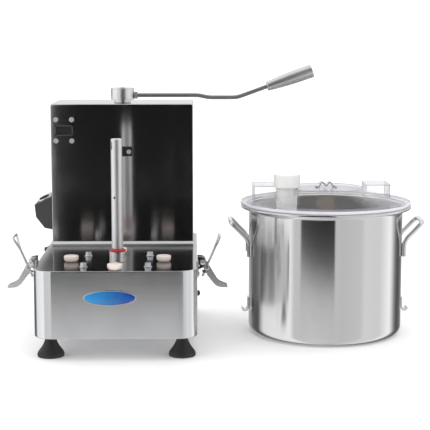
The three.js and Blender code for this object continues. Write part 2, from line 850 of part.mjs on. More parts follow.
// A bent strip with a notch in its top, which takes the lever.
function lidBracket() {
  const base = LID.top + GAP;
  const peak = base + 10.5;
  const notch = base + 4.2;
  const strip = outline([
    [-20, base],
    [20, base],
    [20, base + 2.4],
    [9, peak],
    [5, peak],
    [0, notch],
    [-5, peak],
    [-9, peak],
    [-20, base + 2.4],
  ]);
  const hollow = outline([[-14, base + 2], [14, base + 2], [7, peak - 3], [0, notch - 2], [-7, peak - 3]]);
  return cut(slabAlongY(strip, -12, 12), slabAlongY(hollow, -13, 13));
}

function feedStopper() {
  const low = 228;
  const shoulder = FEED.top + GAP;
  const cap = 24;
  return turned([
    [0, low],
    [FEED.inner - 0.9, low],
    [FEED.inner - 0.9, shoulder],
    [cap, shoulder],
    ...arc(cap - 4, 291, 4, 0, 1, 3),
    [0, 295],
  ]);
}

place("lid_cover", lidCover(), clearPlastic, BOWL.x, BOWL.y);
place("lid_gasket", lidGasket(), whitePlastic, BOWL.x, BOWL.y);
place("lid_bracket", lidBracket(), polishedSteel, BOWL.x, BOWL.y);
place("feed_stopper", feedStopper(), whitePlastic, BOWL.x + FEED.x, BOWL.y + FEED.y);

// ---- Origin: the middle of the footprint, on the table ----
const bounds = new THREE.Box3().setFromObject(part, true);
const middle = bounds.getCenter(new THREE.Vector3());
part.position.set(-middle.x, -middle.y, -bounds.min.z);

export default part;
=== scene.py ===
"""Looks of the table-top bowl cutter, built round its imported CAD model.

Shapes are drawn in millimetres in a local frame and placed by anchors that come from the CAD boxes.
The machine's anchor is its spindle's axis at table height, and the bowl's anchor is the bowl's axis.
"""

import math

import bmesh
import bpy
from mathutils import Matrix, Vector


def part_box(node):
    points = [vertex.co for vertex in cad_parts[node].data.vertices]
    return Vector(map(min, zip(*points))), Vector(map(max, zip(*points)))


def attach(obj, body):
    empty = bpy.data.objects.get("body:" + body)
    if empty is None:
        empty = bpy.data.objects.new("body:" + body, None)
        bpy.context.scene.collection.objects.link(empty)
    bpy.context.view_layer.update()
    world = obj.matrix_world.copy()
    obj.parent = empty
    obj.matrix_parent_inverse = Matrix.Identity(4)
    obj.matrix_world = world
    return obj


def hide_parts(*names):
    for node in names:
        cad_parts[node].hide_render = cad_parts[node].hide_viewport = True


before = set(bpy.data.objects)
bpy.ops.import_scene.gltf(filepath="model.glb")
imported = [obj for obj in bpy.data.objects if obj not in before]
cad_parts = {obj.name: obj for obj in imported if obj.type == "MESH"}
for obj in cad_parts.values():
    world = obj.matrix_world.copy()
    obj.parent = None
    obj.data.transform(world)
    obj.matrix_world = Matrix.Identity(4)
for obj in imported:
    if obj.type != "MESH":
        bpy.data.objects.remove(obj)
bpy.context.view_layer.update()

MM = 0.001
TAU = 2 * math.pi


# ---------------------------------------------------------------- anchors and measures from the frame
def middle_of(node):
    low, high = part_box(node)
    return (low + high) / 2


def axis_of(node):
    """The foot, at table height, of the upright line through a node's middle."""
    middle = middle_of(node)
    return Vector((middle.x, middle.y, 0))


MACHINE = axis_of("drive_spindle")
BOWL = axis_of("bowl_shell")
LEVER = axis_of("lever_hub")


def span(node, axis, anchor=MACHINE):
    """The two sides of a node's box along an axis, in millimetres from an anchor."""
    low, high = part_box(node)
    return (low[axis] - anchor[axis]) / MM, (high[axis] - anchor[axis]) / MM


def half_width(node, axis=0):
    low, high = span(node, axis)
    return (high - low) / 2


def centre_of(node, anchor=MACHINE):
    """A node's middle in millimetres from an anchor."""
    return [value / MM for value in middle_of(node) - anchor]


BASE_LEFT, BASE_RIGHT = span("base_housing", 0)
BASE_FRONT, BASE_BACK = span("base_housing", 1)
BASE_BOTTOM, DECK = span("base_housing", 2)
TOWER_LEFT, TOWER_RIGHT = span("tower_housing", 0)
TOWER_FRONT, TOWER_BACK = span("tower_housing", 1)
TOWER_BOTTOM, TOWER_TOP = span("tower_housing", 2)


# ---------------------------------------------------------------- shape tools: a shape is (points, faces)
def round_points(radius, count, start=0.0):
    """Evenly spaced points round the origin. Six of them are a hexagon."""
    turns = [TAU * k / count + start for k in range(count)]
    return [(radius * math.cos(a), radius * math.sin(a)) for a in turns]


def lathe(profile, sides=72):
    """Turns a profile of (radius, height) round Z. Points on the axis become one vertex."""
    points, rings = [], []
    for radius, height in profile:
        if radius < 1e-6:
            rings.append([len(points)])
            points.append((0, 0, height))
            continue
        rings.append(list(range(len(points), len(points) + sides)))
        points += [(x, y, height) for x, y in round_points(radius, sides)]
    faces = []
    for lower, upper in zip(rings, rings[1:]):
        for i in range(sides):
            j = (i + 1) % sides
            if len(lower) == 1 and len(upper) > 1:
                faces.append((lower[0], upper[j], upper[i]))
            elif len(upper) == 1 and len(lower) > 1:
                faces.append((lower[i], lower[j], upper[0]))
            elif len(upper) > 1:
                faces.append((lower[i], lower[j], upper[j], upper[i]))
    return points, faces


def eased(before, here, after, reach, steps):
    """Points of a smooth curve that cuts a corner, from reach before it to reach after it."""
    start = here + before.normalized() * reach
    end = here + after.normalized() * reach
    shares = [k / steps for k in range(steps + 1)]
    return [start * (1 - t) ** 2 + here * 2 * t * (1 - t) + end * t * t for t in shares]


def filleted(corners, radius, steps=4, closed=False):
    """Rounds the corners of a flat outline or profile. A corner may carry its own radius as a third number."""
    count = len(corners)
    rounded = []
    for i, corner in enumerate(corners):
        own = corner[2] if len(corner) > 2 else radius
        here = Vector(corner[:2])
        if own <= 0 or (not closed and i in (0, count - 1)):
            rounded.append(tuple(here))
            continue
        before = Vector(corners[i - 1][:2]) - here
        after = Vector(corners[(i + 1) % count][:2]) - here
        reach = min(own, before.length * 0.45, after.length * 0.45)
        rounded += [tuple(p) for p in eased(before, here, after, reach, steps)]
    return rounded


def turned(corners, fillet=0.5, sides=72, closed=False):
    """A lathed solid whose profile corners are rounded. A closed profile joins its last point to its first."""
    profile = filleted(corners, fillet, closed=closed)
    return lathe([*profile, profile[0]] if closed else profile, sides)


def mirrored(half):
    """A whole profile from its upper half, which starts nearest to z = 0."""
    return [*[(radius, -z, *own) for radius, z, *own in reversed(half)], *half]


def arc(centre_x, centre_y, radius, start, end, steps):
    """Points of a flat arc, with its angles in degrees."""
    turns = [math.radians(start + (end - start) * i / steps) for i in range(steps + 1)]
    return [(centre_x + radius * math.cos(a), centre_y + radius * math.sin(a)) for a in turns]


def rectangle(x0, x1, y0, y1, front, back=None, steps=8):
    """An outline with its own corner radius at the front (low y) and at the back."""
    back = front if back is None else back
    return [
        *arc(x0 + front, y0 + front, front, 180, 270, steps),
        *arc(x1 - front, y0 + front, front, 270, 360, steps),
        *arc(x1 - back, y1 - back, back, 0, 90, steps),
        *arc(x0 + back, y1 - back, back, 90, 180, steps),
    ]


def stacked(loops, ring=False):
    """Joins loops of equally many points one after another. The ends are closed, or joined in a ring."""
    size, count = len(loops[0]), len(loops)
    faces = [] if ring else [tuple(reversed(range(size)))]
    for k in range(count if ring else count - 1):
        n = (k + 1) % count
        for i in range(size):
            j = (i + 1) % size
            faces.append((k * size + i, k * size + j, n * size + j, n * size + i))
    if not ring:
        faces.append(tuple(range((count - 1) * size, count * size)))
    return [p for loop in loops for p in loop], faces


def prism(outline, low, high, along="z"):
    """A flat outline drawn in the other two axes, extruded along x, y or z."""
    place = {
        "z": lambda a, b, c: (a, b, c),
        "y": lambda a, b, c: (a, c, b),
        "x": lambda a, b, c: (c, a, b),
    }[along]
    return stacked([[place(a, b, c) for a, b in outline] for c in (low, high)])


def box(x0, x1, y0, y1, z0, z1):
    return prism([(x0, y0), (x1, y0), (x1, y1), (x0, y1)], z0, z1)


def twin_plates(outline, inner, outer):
    """The same plate on both sides of y = 0."""
    return [prism(outline, *sorted((sign * inner, sign * outer)), "y") for sign in (-1, 1)]


def bent(corners, bend, steps=6):
    """A path of straight runs joined by bends. A corner may carry its own bend as a fourth number."""
    path = [Vector(corners[0][:3])]
    for before, corner, after in zip(corners, corners[1:], corners[2:]):
        here = Vector(corner[:3])
        own = corner[3] if len(corner) > 3 else bend
        back, ahead = Vector(before[:3]) - here, Vector(after[:3]) - here
        reach = min(own, back.length * 0.48, ahead.length * 0.48)
        path += eased(back, here, ahead, reach, steps)
    path.append(Vector(corners[-1][:3]))
    return path


def swept(path, radius, sides=20, closed=False):
    """A round bar along a path. Radius is one number, or one for each point. Open ends are capped."""
    count = len(path)
    radii = radius if hasattr(radius, "__len__") else [radius] * count
    tangents = []
    for i in range(count):
        ahead = path[(i + 1) % count] if closed or i < count - 1 else path[i]
        behind = path[i - 1] if closed or i > 0 else path[i]
        tangents.append((ahead - behind).normalized())
    guide = Vector((0, 0, 1)) if abs(tangents[0].z) < 0.9 else Vector((0, 1, 0))
    across = tangents[0].cross(guide).normalized()
    loops = []
    for point, tangent, size in zip(path, tangents, radii):
        across = (across - tangent * across.dot(tangent)).normalized()
        up = tangent.cross(across)
        loops.append([tuple(point + (across * a + up * b) * size) for a, b in round_points(1, sides)])
    return stacked(loops, closed)


def moved(shape, offset=(0, 0, 0), turn=0, about="Z"):
    """The shape turned about an axis through the origin by an angle in radians, then shifted."""
    matrix = Matrix.Translation(offset) @ Matrix.Rotation(turn, 4, about)
    return [tuple(matrix @ Vector(p)) for p in shape[0]], shape[1]


def together(*shapes):
    points, faces = [], []
    for more_points, more_faces in shapes:
        start = len(points)
        points += list(more_points)
        faces += [tuple(i + start for i in face) for face in more_faces]
    return points, faces


def facing_front(shape, x, y, z):
    """Turns a shape that stands on z = 0 so that it stands on a wall that faces -Y."""
    return moved(moved(shape, turn=TAU / 4, about="X"), (x, y, z))


def facing_back(shape, x, y, z):
    return moved(moved(shape, turn=-TAU / 4, about="X"), (x, y, z))


def facing_side(shape, sign, x, y, z):
    """The same for a wall that faces along X: to the right with sign 1, to the left with -1."""
    return moved(moved(shape, turn=sign * TAU / 4, about="Y"), (x, y, z))


def socket_screw(radius, height, key):
    """A socket-head screw standing on z = 0, with its round socket."""
    socket = [(0, height * 0.35), (key, height * 0.35), (key, height, 0.15)]
    return turned([*socket, (radius, height, 0.5), (radius, 0), (0, 0)], 0.4, 28)


def dome_screw(radius, height):
    """A domed screw head standing on z = 0, with a small driver recess."""
    head = [(0, height * 0.55), (radius * 0.26, height * 0.55), (radius * 0.32, height, 0.1)]
    head += [(radius * 0.75, height * 0.86, radius * 0.5), (radius, height * 0.2, 0.3), (radius, 0), (0, 0)]
    return turned(head, 0.5, 28)


# ---------------------------------------------------------------- pieces
def new_object(name, shape, anchor, turn=0.0):
    mesh = bpy.data.meshes.new(name)
    mesh.from_pydata([Vector(p) * MM for p in shape[0]], [], shape[1])
    tidy = bmesh.new()
    tidy.from_mesh(mesh)
    bmesh.ops.remove_doubles(tidy, verts=tidy.verts, dist=1e-7)
    bmesh.ops.recalc_face_normals(tidy, faces=tidy.faces)
    tidy.to_mesh(mesh)
    tidy.free()
    made = bpy.data.objects.new(name, mesh)
    bpy.context.scene.collection.objects.link(made)
    made.location = anchor
    made.rotation_euler.z = turn
    return made


def boolean(target, tool, operation):
    """Joins a tool object to the target or cuts it away, for good."""
    change = target.modifiers.new("boolean", "BOOLEAN")
    change.operation = operation
    change.solver = "EXACT"
    change.object = tool
    bpy.context.view_layer.update()
    done = bpy.data.meshes.new_from_object(target.evaluated_get(bpy.context.evaluated_depsgraph_get()))
    target.modifiers.clear()
    target.data = done
    bpy.data.objects.remove(tool)


def piece(
    name, shape, finish, body="machine", anchor=MACHINE, turn=0.0, stands_for=None, bevel=0.0, join=(), cut=()
):
    """Makes one visible piece in a finish from FINISHES and puts it on its CAD body.

    Stands_for is the CAD node that the piece replaces. Join and cut are shapes added to it and cut from it.
    """
    made = new_object(name, shape, anchor, turn)
    for operation, tools in (("UNION", join), ("DIFFERENCE", cut)):
        for tool in tools:
            boolean(made, new_object(name + "_tool", tool, anchor, turn), operation)
    slot, material = FINISHES[finish]
    made.data.materials.clear()
    made.data.materials.append(material)
    made.data.shade_smooth()
    if bevel:
        edge = made.modifiers.new("bevel", "BEVEL")
        edge.width = bevel * MM
        edge.segments = 3
        edge.limit_method = "ANGLE"
        edge.angle_limit = math.radians(32)
    else:
        made.data.set_sharp_from_angle(angle=math.radians(40))
    flat = made.modifiers.new("weighted normals", "WEIGHTED_NORMAL")
    flat.weight = 100
    flat.keep_sharp = True
    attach(made, body)
    if stands_for:
        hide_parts(stands_for)
    return made


# ---------------------------------------------------------------- material tools
class Look:
    """The nodes of a material or of the world, with a short call for each kind of node that they share."""

    def __init__(self, owner):
        owner.use_nodes = True
        self.owner = owner
        self.nodes = owner.node_tree.nodes
        self.links = owner.node_tree.links

    def feed(self, socket, value):
        """Links a socket to another node's output, or sets it to a number, vector or colour."""
        if isinstance(value, bpy.types.NodeSocket):
            self.links.new(value, socket)
        elif socket.type == "RGBA":
            socket.default_value = (*value, 1)
        else:
            socket.default_value = value

    def add(self, kind, inputs, output, **settings):
        """Adds a node with its settings, feeds its inputs, and gives one of its outputs."""
        node = self.nodes.new("ShaderNode" + kind)
        for name, value in settings.items():
            setattr(node, name, value)
        for name, value in inputs.items():
            self.feed(node.inputs[name], value)
        return node.outputs[output]

    def shade(self, inputs, node="Principled BSDF"):
        """Feeds the inputs of the shader, and gives the material."""
        for name, value in inputs.items():
            self.feed(self.nodes[node].inputs[name], value)
        return self.owner

    def coordinate(self, kind="Object"):
        return self.add("TexCoord", {}, kind)

    def split(self, vector):
        """The X, Y and Z of a vector."""
        node = self.nodes.new("ShaderNodeSeparateXYZ")
        self.feed(node.inputs["Vector"], vector)
        return node.outputs

    def vector(self, x, y, z):
        return self.add("CombineXYZ", {"X": x, "Y": y, "Z": z}, "Vector")

    def math(self, operation, first, second=0.0):
        return self.add("Math", {0: first, 1: second}, "Value", operation=operation)

    def mixed(self, share, first, second, kind="RGBA"):
        return self.add("Mix", {"Factor": share, "A": first, "B": second}, "Result", data_type=kind)

    def ranged(self, value, low, high, from_low=0.3, from_high=0.7):
        """Maps a value onto a range. Noise lies mostly between 0.3 and 0.7."""
        limits = {"From Min": from_low, "From Max": from_high, "To Min": low, "To Max": high}
        return self.add("MapRange", {"Value": value, **limits}, "Result")

    def noise(self, scale, detail=4.0, roughness=0.6, coordinates=None):
        """Noise in object space. Scale is one number, or one for each axis."""
        scales = scale if hasattr(scale, "__len__") else (scale, scale, scale)
        source = {"Vector": coordinates or self.coordinate(), "Scale": scales}
        place = self.add("Mapping", source, "Vector")
        values = {"Vector": place, "Scale": 1.0, "Detail": detail, "Roughness": roughness}
        return self.add("TexNoise", values, "Fac")

    def bump(self, height, strength, distance):
        return self.add("Bump", {"Strength": strength, "Distance": distance, "Height": height}, "Normal")


def new_look(name):
    return Look(bpy.data.materials.new(name))


def ring_grain(look):
    """Coordinates for grain that runs round Z: a little of the angle, the radius and the height."""
    x, y, z = look.split(look.coordinate())
    squares = [look.math("POWER", side, 2.0) for side in (x, y)]
    radius = look.math("SQRT", look.math("ADD", *squares))
    along = look.math("MULTIPLY", look.math("ARCTAN2", y, x), 0.012)
    return look.vector(along, radius, z)


def sheet_grain(look):
    """Coordinates for brushed sheet: the grain runs along X, and along Y on faces that look sideways."""
    place = look.coordinate()
    x, y, z = look.split(place)
    facing = look.split(look.coordinate("Normal"))["X"]
    sideways = look.math("GREATER_THAN", look.math("ABSOLUTE", facing), 0.7)
    return look.mixed(sideways, place, look.vector(y, x, z), "VECTOR")


def across_the_grain(look):
    """The way in which brushed sheet smears reflections: up a wall, and front to back on a level face."""
    level = look.math("ABSOLUTE", look.split(look.coordinate("Normal"))["Z"])
    return look.vector(0.0, level, look.math("SUBTRACT", 1.0, level))


# ---------------------------------------------------------------- materials
GRAINS = {"sheet": sheet_grain, "ring": ring_grain}
GRAIN_LENGTH = 6.0  # lines per metre along the grain
INSIDE_SHADE_FOOT = 0.02  # height above which a vessel's inside is painted dark brown, standing for the shade inside it


def steel(name, colour, rough, spread, grain, fine, bump, anisotropic=0.0, inside=None, deck=None):
    """Bare steel. Grain is sheet, ring or plain, fine its lines per metre, and spread varies the roughness.

    Inside, when given, is a radius and a dark colour painted on ring-grained steel nearer to its axis than that,
    above a low foot: painted shade inside a vessel.
    Deck is a darker colour painted on sheet where it lies level: a painted reflection, since the level deck
    looks dark by mirroring the dark tower front.
    """
    look = new_look(name)
    source = GRAINS[grain](look) if grain in GRAINS else None
    lines = look.noise(fine if grain == "plain" else (GRAIN_LENGTH, fine, fine), 3.0, 0.7, source)
    clouds = look.noise(14.0, 5.0)
    smears = look.noise((40.0, 40.0, 9.0), 3.0, 0.5)
    handled = look.ranged(look.math("MULTIPLY", clouds, smears), 0.0, 0.03, 0.22, 0.38)
    roughness = look.math("ADD", look.ranged(lines, rough - spread, rough + spread), handled)
    shade = look.mixed(lines, tuple(c * 0.9 for c in colour), colour)
    # Painted shade: the inside of a vessel's wall takes a dark brown colour that stands for the shade within it.
    if inside:
        radius, inside_shade_colour = inside
        _, from_axis, height = look.split(source)
        within = look.math("LESS_THAN", from_axis, radius)
        above = look.math("GREATER_THAN", height, INSIDE_SHADE_FOOT)
        shade = look.mixed(look.math("MULTIPLY", within, above), shade, inside_shade_colour)
    if grain == "sheet":
        level = look.split(look.coordinate("Normal"))["Z"]
        roughness = look.math("MULTIPLY", roughness, look.ranged(level, 1.0, 0.65, 0.5, 0.9))
    # Painted reflection: level faces take a darker colour, standing for the dark tower front that they mirror.
    if deck:
        shade = look.mixed(look.ranged(level, 0.0, 1.0, 0.8, 1.0), shade, deck)
    values = {"Base Color": shade, "Roughness": roughness, "Metallic": 1.0, "Anisotropic": anisotropic}
    values["Normal"] = look.bump(lines, bump, 0.0002)
    if anisotropic and grain == "sheet":
        values["Tangent"] = across_the_grain(look)
    elif anisotropic:
        values["Tangent"] = look.add("Tangent", {}, "Tangent", direction_type="RADIAL", axis="Z")
        values["Anisotropic Rotation"] = 0.25
    return look.shade(values)


def plastic(name, colour, dusty, rough, grain, bump, coat=0.0, subsurface=0.0):
    """Moulded plastic or rubber with a fine moulded texture, cloudy gloss and a little dust."""
    look = new_look(name)
    clouds = look.noise(22.0, 5.0)
    values = {
        "Base Color": look.mixed(look.ranged(clouds, 0.0, 1.0), colour, dusty),
        "Roughness": look.ranged(clouds, rough - 0.06, rough + 0.08),
        "Normal": look.bump(look.noise(grain), bump, 0.0003),
        "Coat Weight": coat,
        "Subsurface Weight": subsurface,
        "Subsurface Radius": (0.004, 0.003, 0.002),
    }
    return look.shade(values)


def clear_plastic(name):
    """Thin polycarbonate: clear face on, with a lilac tint where it is seen edge on, and fine wipe marks."""
    look = new_look(name)
    facing = look.add("LayerWeight", {"Blend": 0.5}, "Facing")
    marks = look.noise((60.0, 500.0, 60.0), 3.0)
    edge_on = look.ranged(facing, 0.0, 1.0, 0.5, 1.0)
    solid = look.ranged(facing, 0.05, 0.55, 0.55, 1.0)
    values = {
        "Base Color": look.mixed(edge_on, (0.93, 0.93, 0.94), (0.28, 0.26, 0.33)),
        "Roughness": look.ranged(marks, 0.04, 0.10),
        "Alpha": look.math("ADD", solid, look.ranged(marks, -0.02, 0.02)),
        "IOR": 1.46,
    }
    return look.shade(values)


def badge_enamel(name):
    """Blue that darkens from left to right, under a clear dome."""
    look = new_look(name)
    across = look.ranged(look.split(look.coordinate())["X"], 0.0, 1.0, -0.046, 0.03)
    cloudy = look.noise(90.0, 2.0, 0.5)
    share = look.math("ADD", across, look.ranged(cloudy, -0.08, 0.08))
    values = {
        "Base Color": look.mixed(share, (0.015, 0.22, 0.48), (0.004, 0.035, 0.24)),
        "Roughness": look.ranged(cloudy, 0.16, 0.26),
        "Coat Weight": 0.6,
        "Coat Roughness": 0.05,
    }
    return look.shade(values)


POLISHED, CHROME, CREAM, CLEAR = "stainless_polished", "chrome_parts", "cream_plastic", "clear_plastic"
# Painted shade: inside this radius the bowl's steel is painted dark brown, standing for the shade inside the
# bowl.
BOWL_INSIDE_SHADE = (0.1392, (0.19, 0.135, 0.085))
# Painted reflection: the colour that level sheet takes, darker to stand for the dark tower front that the deck
# mirrors.
DECK_PAINTED_REFLECTION = (0.36, 0.36, 0.37)

# Finish: slot, material name, colour, roughness and its spread, grain, lines per metre, bump, anisotropy, then
# for some the painted shade inside and the painted reflection colour of level faces.
STEELS = {
    "sheet": ("stainless_brushed", "brushed_sheet", (0.78, 0.785, 0.79), 0.19, 0.01, "sheet", 700, 0.004, 0.9,
              None, DECK_PAINTED_REFLECTION),
    "mirror_sheet": (POLISHED, "mirror_sheet", (0.66, 0.665, 0.67), 0.13, 0.01, "sheet", 700, 0.003, 0.9),
    "spun": (POLISHED, "spun_steel", (0.74, 0.735, 0.73), 0.15, 0.01, "ring", 700, 0.002, 0.9, BOWL_INSIDE_SHADE),
    "polished": (POLISHED, "polished_steel", (0.74, 0.74, 0.74), 0.14, 0.03, "plain", 120, 0.02),
    "turned": (POLISHED, "turned_steel", (0.90, 0.90, 0.90), 0.34, 0.05, "ring", 1400, 0.02),
    "ground": (POLISHED, "ground_shaft", (0.90, 0.90, 0.90), 0.46, 0.05, "ring", 1400, 0.02),
    "bright": (CHROME, "bright_fastener", (0.92, 0.92, 0.92), 0.42, 0.04, "plain", 200, 0.01),
    "chrome": (CHROME, "chrome_plate", (0.80, 0.80, 0.81), 0.08, 0.02, "plain", 60, 0.01),
    "rod": (CHROME, "bright_rod", (0.80, 0.80, 0.81), 0.09, 0.03, "plain", 300, 0.01),
    "dull_rod": (CHROME, "dull_rod", (0.38, 0.38, 0.39), 0.5, 0.03, "plain", 500, 0.01),
    "brushed_rod": (POLISHED, "brushed_grip", (0.82, 0.82, 0.82), 0.40, 0.03, "plain", 300, 0.004),
    "satin": ("satin_steel", "satin_steel", (0.70, 0.70, 0.70), 0.26, 0.05, "plain", 400, 0.01),
    "cast": ("cast_aluminium", "cast_aluminium", (0.6, 0.6, 0.61), 0.42, 0.08, "plain", 500, 0.25),
}

# Finish: slot, material name, colour, dusty colour, roughness, texture per metre, bump, coat, subsurface.
PLASTICS = {
    "rubber": ("black_rubber", "black_rubber", (0.01, 0.01, 0.01), (0.016, 0.016, 0.015), 0.5, 900, 0.12),
    "cream": (CREAM, "cream_pad", (0.66, 0.56, 0.51), (0.70, 0.62, 0.57), 0.38, 500, 0.05, 0.1, 0.15),
    "pink": (CREAM, "pad_face", (0.62, 0.46, 0.40), (0.66, 0.52, 0.46), 0.4, 500, 0.05, 0.1, 0.15),
    "red_rubber": ("red_rubber", "red_lip_seal", (0.3, 0.003, 0.005), (0.36, 0.008, 0.01), 0.3, 600, 0.05, 0.2),
    "grey": ("grey_plastic", "grey_moulding", (0.040, 0.040, 0.042), (0.055, 0.055, 0.056), 0.5, 1300, 0.2),
    "black": ("black_plastic", "black_moulding", (0.006, 0.006, 0.006), (0.011, 0.011, 0.011), 0.4, 900, 0.08),
    "white": ("white_plastic", "white_nylon", (0.74, 0.74, 0.72), (0.79, 0.79, 0.78), 0.36, 500, 0.04, 0.1, 0.2),
    # Painted light: an opaque pale lilac band at the lid's edge, standing for the glow that the clear edge
    # shows.
    "painted_glow": (CLEAR, "painted_glow_edge", (0.60, 0.58, 0.66), (0.68, 0.66, 0.72), 0.3, 300, 0.03, 0.3, 0.4),
    # Painted reflection: thin dark lilac bars along the clear lid's edges, standing for the light those edges
    # reflect and bend.
    "painted_edge_line": (CLEAR, "painted_edge_reflection", (0.30, 0.28, 0.36), (0.36, 0.34, 0.42), 0.3, 300, 0.03, 0.3, 0.2),
    "paint": ("motor_paint", "motor_paint", (0.05, 0.065, 0.08), (0.07, 0.08, 0.09), 0.4, 300, 0.1),
}

FINISHES = {name: (slot, steel(*values)) for name, (slot, *values) in STEELS.items()}
FINISHES.update({name: (slot, plastic(*values)) for name, (slot, *values) in PLASTICS.items()})
FINISHES["clear"] = (CLEAR, clear_plastic("clear_polycarbonate"))
FINISHES["enamel"] = ("blue_enamel", badge_enamel("badge_enamel"))


# ---------------------------------------------------------------- machine: casing
EDGE = 1.6  # bend radius of the base's folded edges
TOWER_EDGE = 3.0  # bend radius of the fold round the tower's front
SHEET = 2.0
CORNER = 34.0  # the base's upright front corners
BACK_CORNER = 8.0
LIP = 7.0  # how far the base's bottom edge turns in
GAP = 0.3  # between pieces that touch
FOLD = [0, 0.3, 0.6, 0.9, 1.25, TAU / 4]  # angles round a folded edge


def folded(edge):
    """How far a folded edge is set in and drops, from the wall round to the flat face."""
    return [(edge * (1 - math.sin(a)), edge * (1 - math.cos(a))) for a in FOLD]


def base_loop(inset, z):
    sides = (BASE_LEFT + inset, BASE_RIGHT - inset, BASE_FRONT + inset, BASE_BACK - inset)
    return [(x, y, z) for x, y in rectangle(*sides, CORNER - inset, max(BACK_CORNER - inset, 1), 14)]


def base_shell():
    """Outer and inner skins of one folded sheet, open below with a turned-in lip."""
    lip_top = BASE_BOTTOM + SHEET + 1.2
    inside = [(SHEET + EDGE, DECK - SHEET), (SHEET, DECK - SHEET - EDGE), (SHEET, lip_top), (LIP, lip_top)]
    below = [(LIP, BASE_BOTTOM), *[(inset, BASE_BOTTOM + drop) for inset, drop in folded(EDGE)]]
    above = [(inset, DECK - drop) for inset, drop in reversed(folded(EDGE))]
    return stacked([base_loop(inset, z) for inset, z in [*inside, *below, *above]])


def tower_loop(inset, y):
    aside = inset * 0.45  # the side folds are tighter than the top one
    corner = 3.2 - aside * 0.8
    top = TOWER_TOP - inset
    right, left = TOWER_RIGHT - aside, TOWER_LEFT + aside
    outline = [(left, TOWER_BOTTOM), (right, TOWER_BOTTOM)]
    outline += arc(right - corner, top - corner, corner, 0, 90, 6)
    outline += arc(left + corner, top - corner, corner, 90, 180, 6)
    return [(x, y, z) for x, z in outline]


def tower_shell():
    """The folded front, sides and top of the tower, open behind and below."""
    inside = [tower_loop(SHEET, TOWER_FRONT + SHEET), tower_loop(SHEET, TOWER_BACK)]
    outside = [tower_loop(inset, TOWER_FRONT + drop) for inset, drop in reversed(folded(TOWER_EDGE))]
    return stacked([*inside, tower_loop(0, TOWER_BACK), *outside])


WINDOW_FLANGE = 4.0  # hidden behind the panel all round the window's opening
WINDOW_FRAME = 2.2
WINDOW_X, WINDOW_Z = [
    (low + WINDOW_FLANGE, high - WINDOW_FLANGE)
    for low, high in [span("lid_sensor_window", axis) for axis in (0, 2)]
]


def window():
    """The black window's flange behind the panel, its recessed face and its lens."""
    x0, x1 = WINDOW_X
    z0, z1 = WINDOW_Z
    sunk, behind, wide = TOWER_FRONT + 1.4, TOWER_FRONT + SHEET, WINDOW_FLANGE
    flange = box(x0 - wide, x1 + wide, behind + GAP, behind + 3, z0 - wide, z1 + wide)
    face = box(x0 + GAP, x1 - GAP, sunk, behind + 1, z0 + GAP, z1 - GAP)
    lens = turned([(0, 1), (5.5, 1), (6.5, 0), (0, 0)], 0.4, 28)
    return together(flange, face, facing_front(lens, x0 + 9, sunk, (z0 + z1) / 2))


def window_frame():
    """The raised frame round the window's recessed face."""
    x0, x1 = WINDOW_X[0] + GAP, WINDOW_X[1] - GAP
    z0, z1 = WINDOW_Z[0] + GAP, WINDOW_Z[1] - GAP
    wide = WINDOW_FRAME - GAP
    bars = [(x0, x0 + wide, z0, z1), (x1 - wide, x1, z0, z1)]
    bars += [(x0, x1, z0, z0 + wide), (x0, x1, z1 - wide, z1)]
    return together(*[box(a, b, TOWER_FRONT - 0.5, TOWER_FRONT + SHEET, c, d) for a, b, c, d in bars])


piece("base_casing", base_shell(), "sheet", stands_for="base_housing")
window_hole = box(*WINDOW_X, TOWER_FRONT - 9, TOWER_FRONT + 9, *WINDOW_Z)
piece("tower_casing", tower_shell(), "mirror_sheet", stands_for="tower_housing", cut=[window_hole])
piece("sensor_window", window(), "black", stands_for="lid_sensor_window", bevel=0.4)
piece("window_frame", window_frame(), "grey")
for side, x in (("left", WINDOW_X[0] + 2), ("right", WINDOW_X[1] - 2)):
    for row, z in (("lower", WINDOW_Z[0] - 9), ("upper", WINDOW_Z[1] + 10)):
        screw = facing_front(socket_screw(4.4, 3.2, 2.2), x, TOWER_FRONT, z)
        piece(f"window_screw_{row}_{side}", screw, "bright")

COVER_BACK = span("tower_back_cover", 1)[1]
LOUVRE_WIDTH = 62
VENTS = [(x, 205 + row * 14) for row in range(6) for x in (-36, 36)]


def back_cover():
    bottom, top = span("tower_back_cover", 2)
    outline = rectangle(TOWER_LEFT, TOWER_RIGHT, bottom, top, 2, 4, 5)
    return prism(outline, TOWER_BACK + GAP, COVER_BACK, "y")


def louvre(x, z):
    """A pressed hood over a slot: a half lens that opens downwards."""
    rise, tall, steps = 3.0, 8.0, 12
    section = [(0, 0), (0.15, 0.75), (0.4, 1), (0.75, 0.75), (1, 0)]
    loops = []
    for k in range(steps + 1):
        share = k / steps
        across = x + (share - 0.5) * LOUVRE_WIDTH
        swell = math.sin(math.pi * min(max(share, 0.002), 0.998)) ** 0.35
        loops.append([(across, COVER_BACK + rise * h * swell - 0.4, z + tall * t) for t, h in section])
    return stacked(loops)


slots = [box(x - 28, x + 28, TOWER_BACK - 9, TOWER_BACK + 15, z - 1.2, z + 1.4) for x, z in VENTS]
piece("tower_cover", back_cover(), "sheet", stands_for="tower_back_cover", bevel=0.5, cut=slots)
piece("tower_louvres", together(*[louvre(x, z) for x, z in VENTS]), "sheet")
for column, x in (("left", TOWER_LEFT + 10), ("right", TOWER_RIGHT - 10)):
    for row, z in (("lower", DECK + 16), ("middle", (DECK + TOWER_TOP) / 2), ("upper", TOWER_TOP - 14)):
        piece(f"cover_screw_{row}_{column}", facing_back(dome_screw(4, 2.2), x, COVER_BACK, z), "chrome")


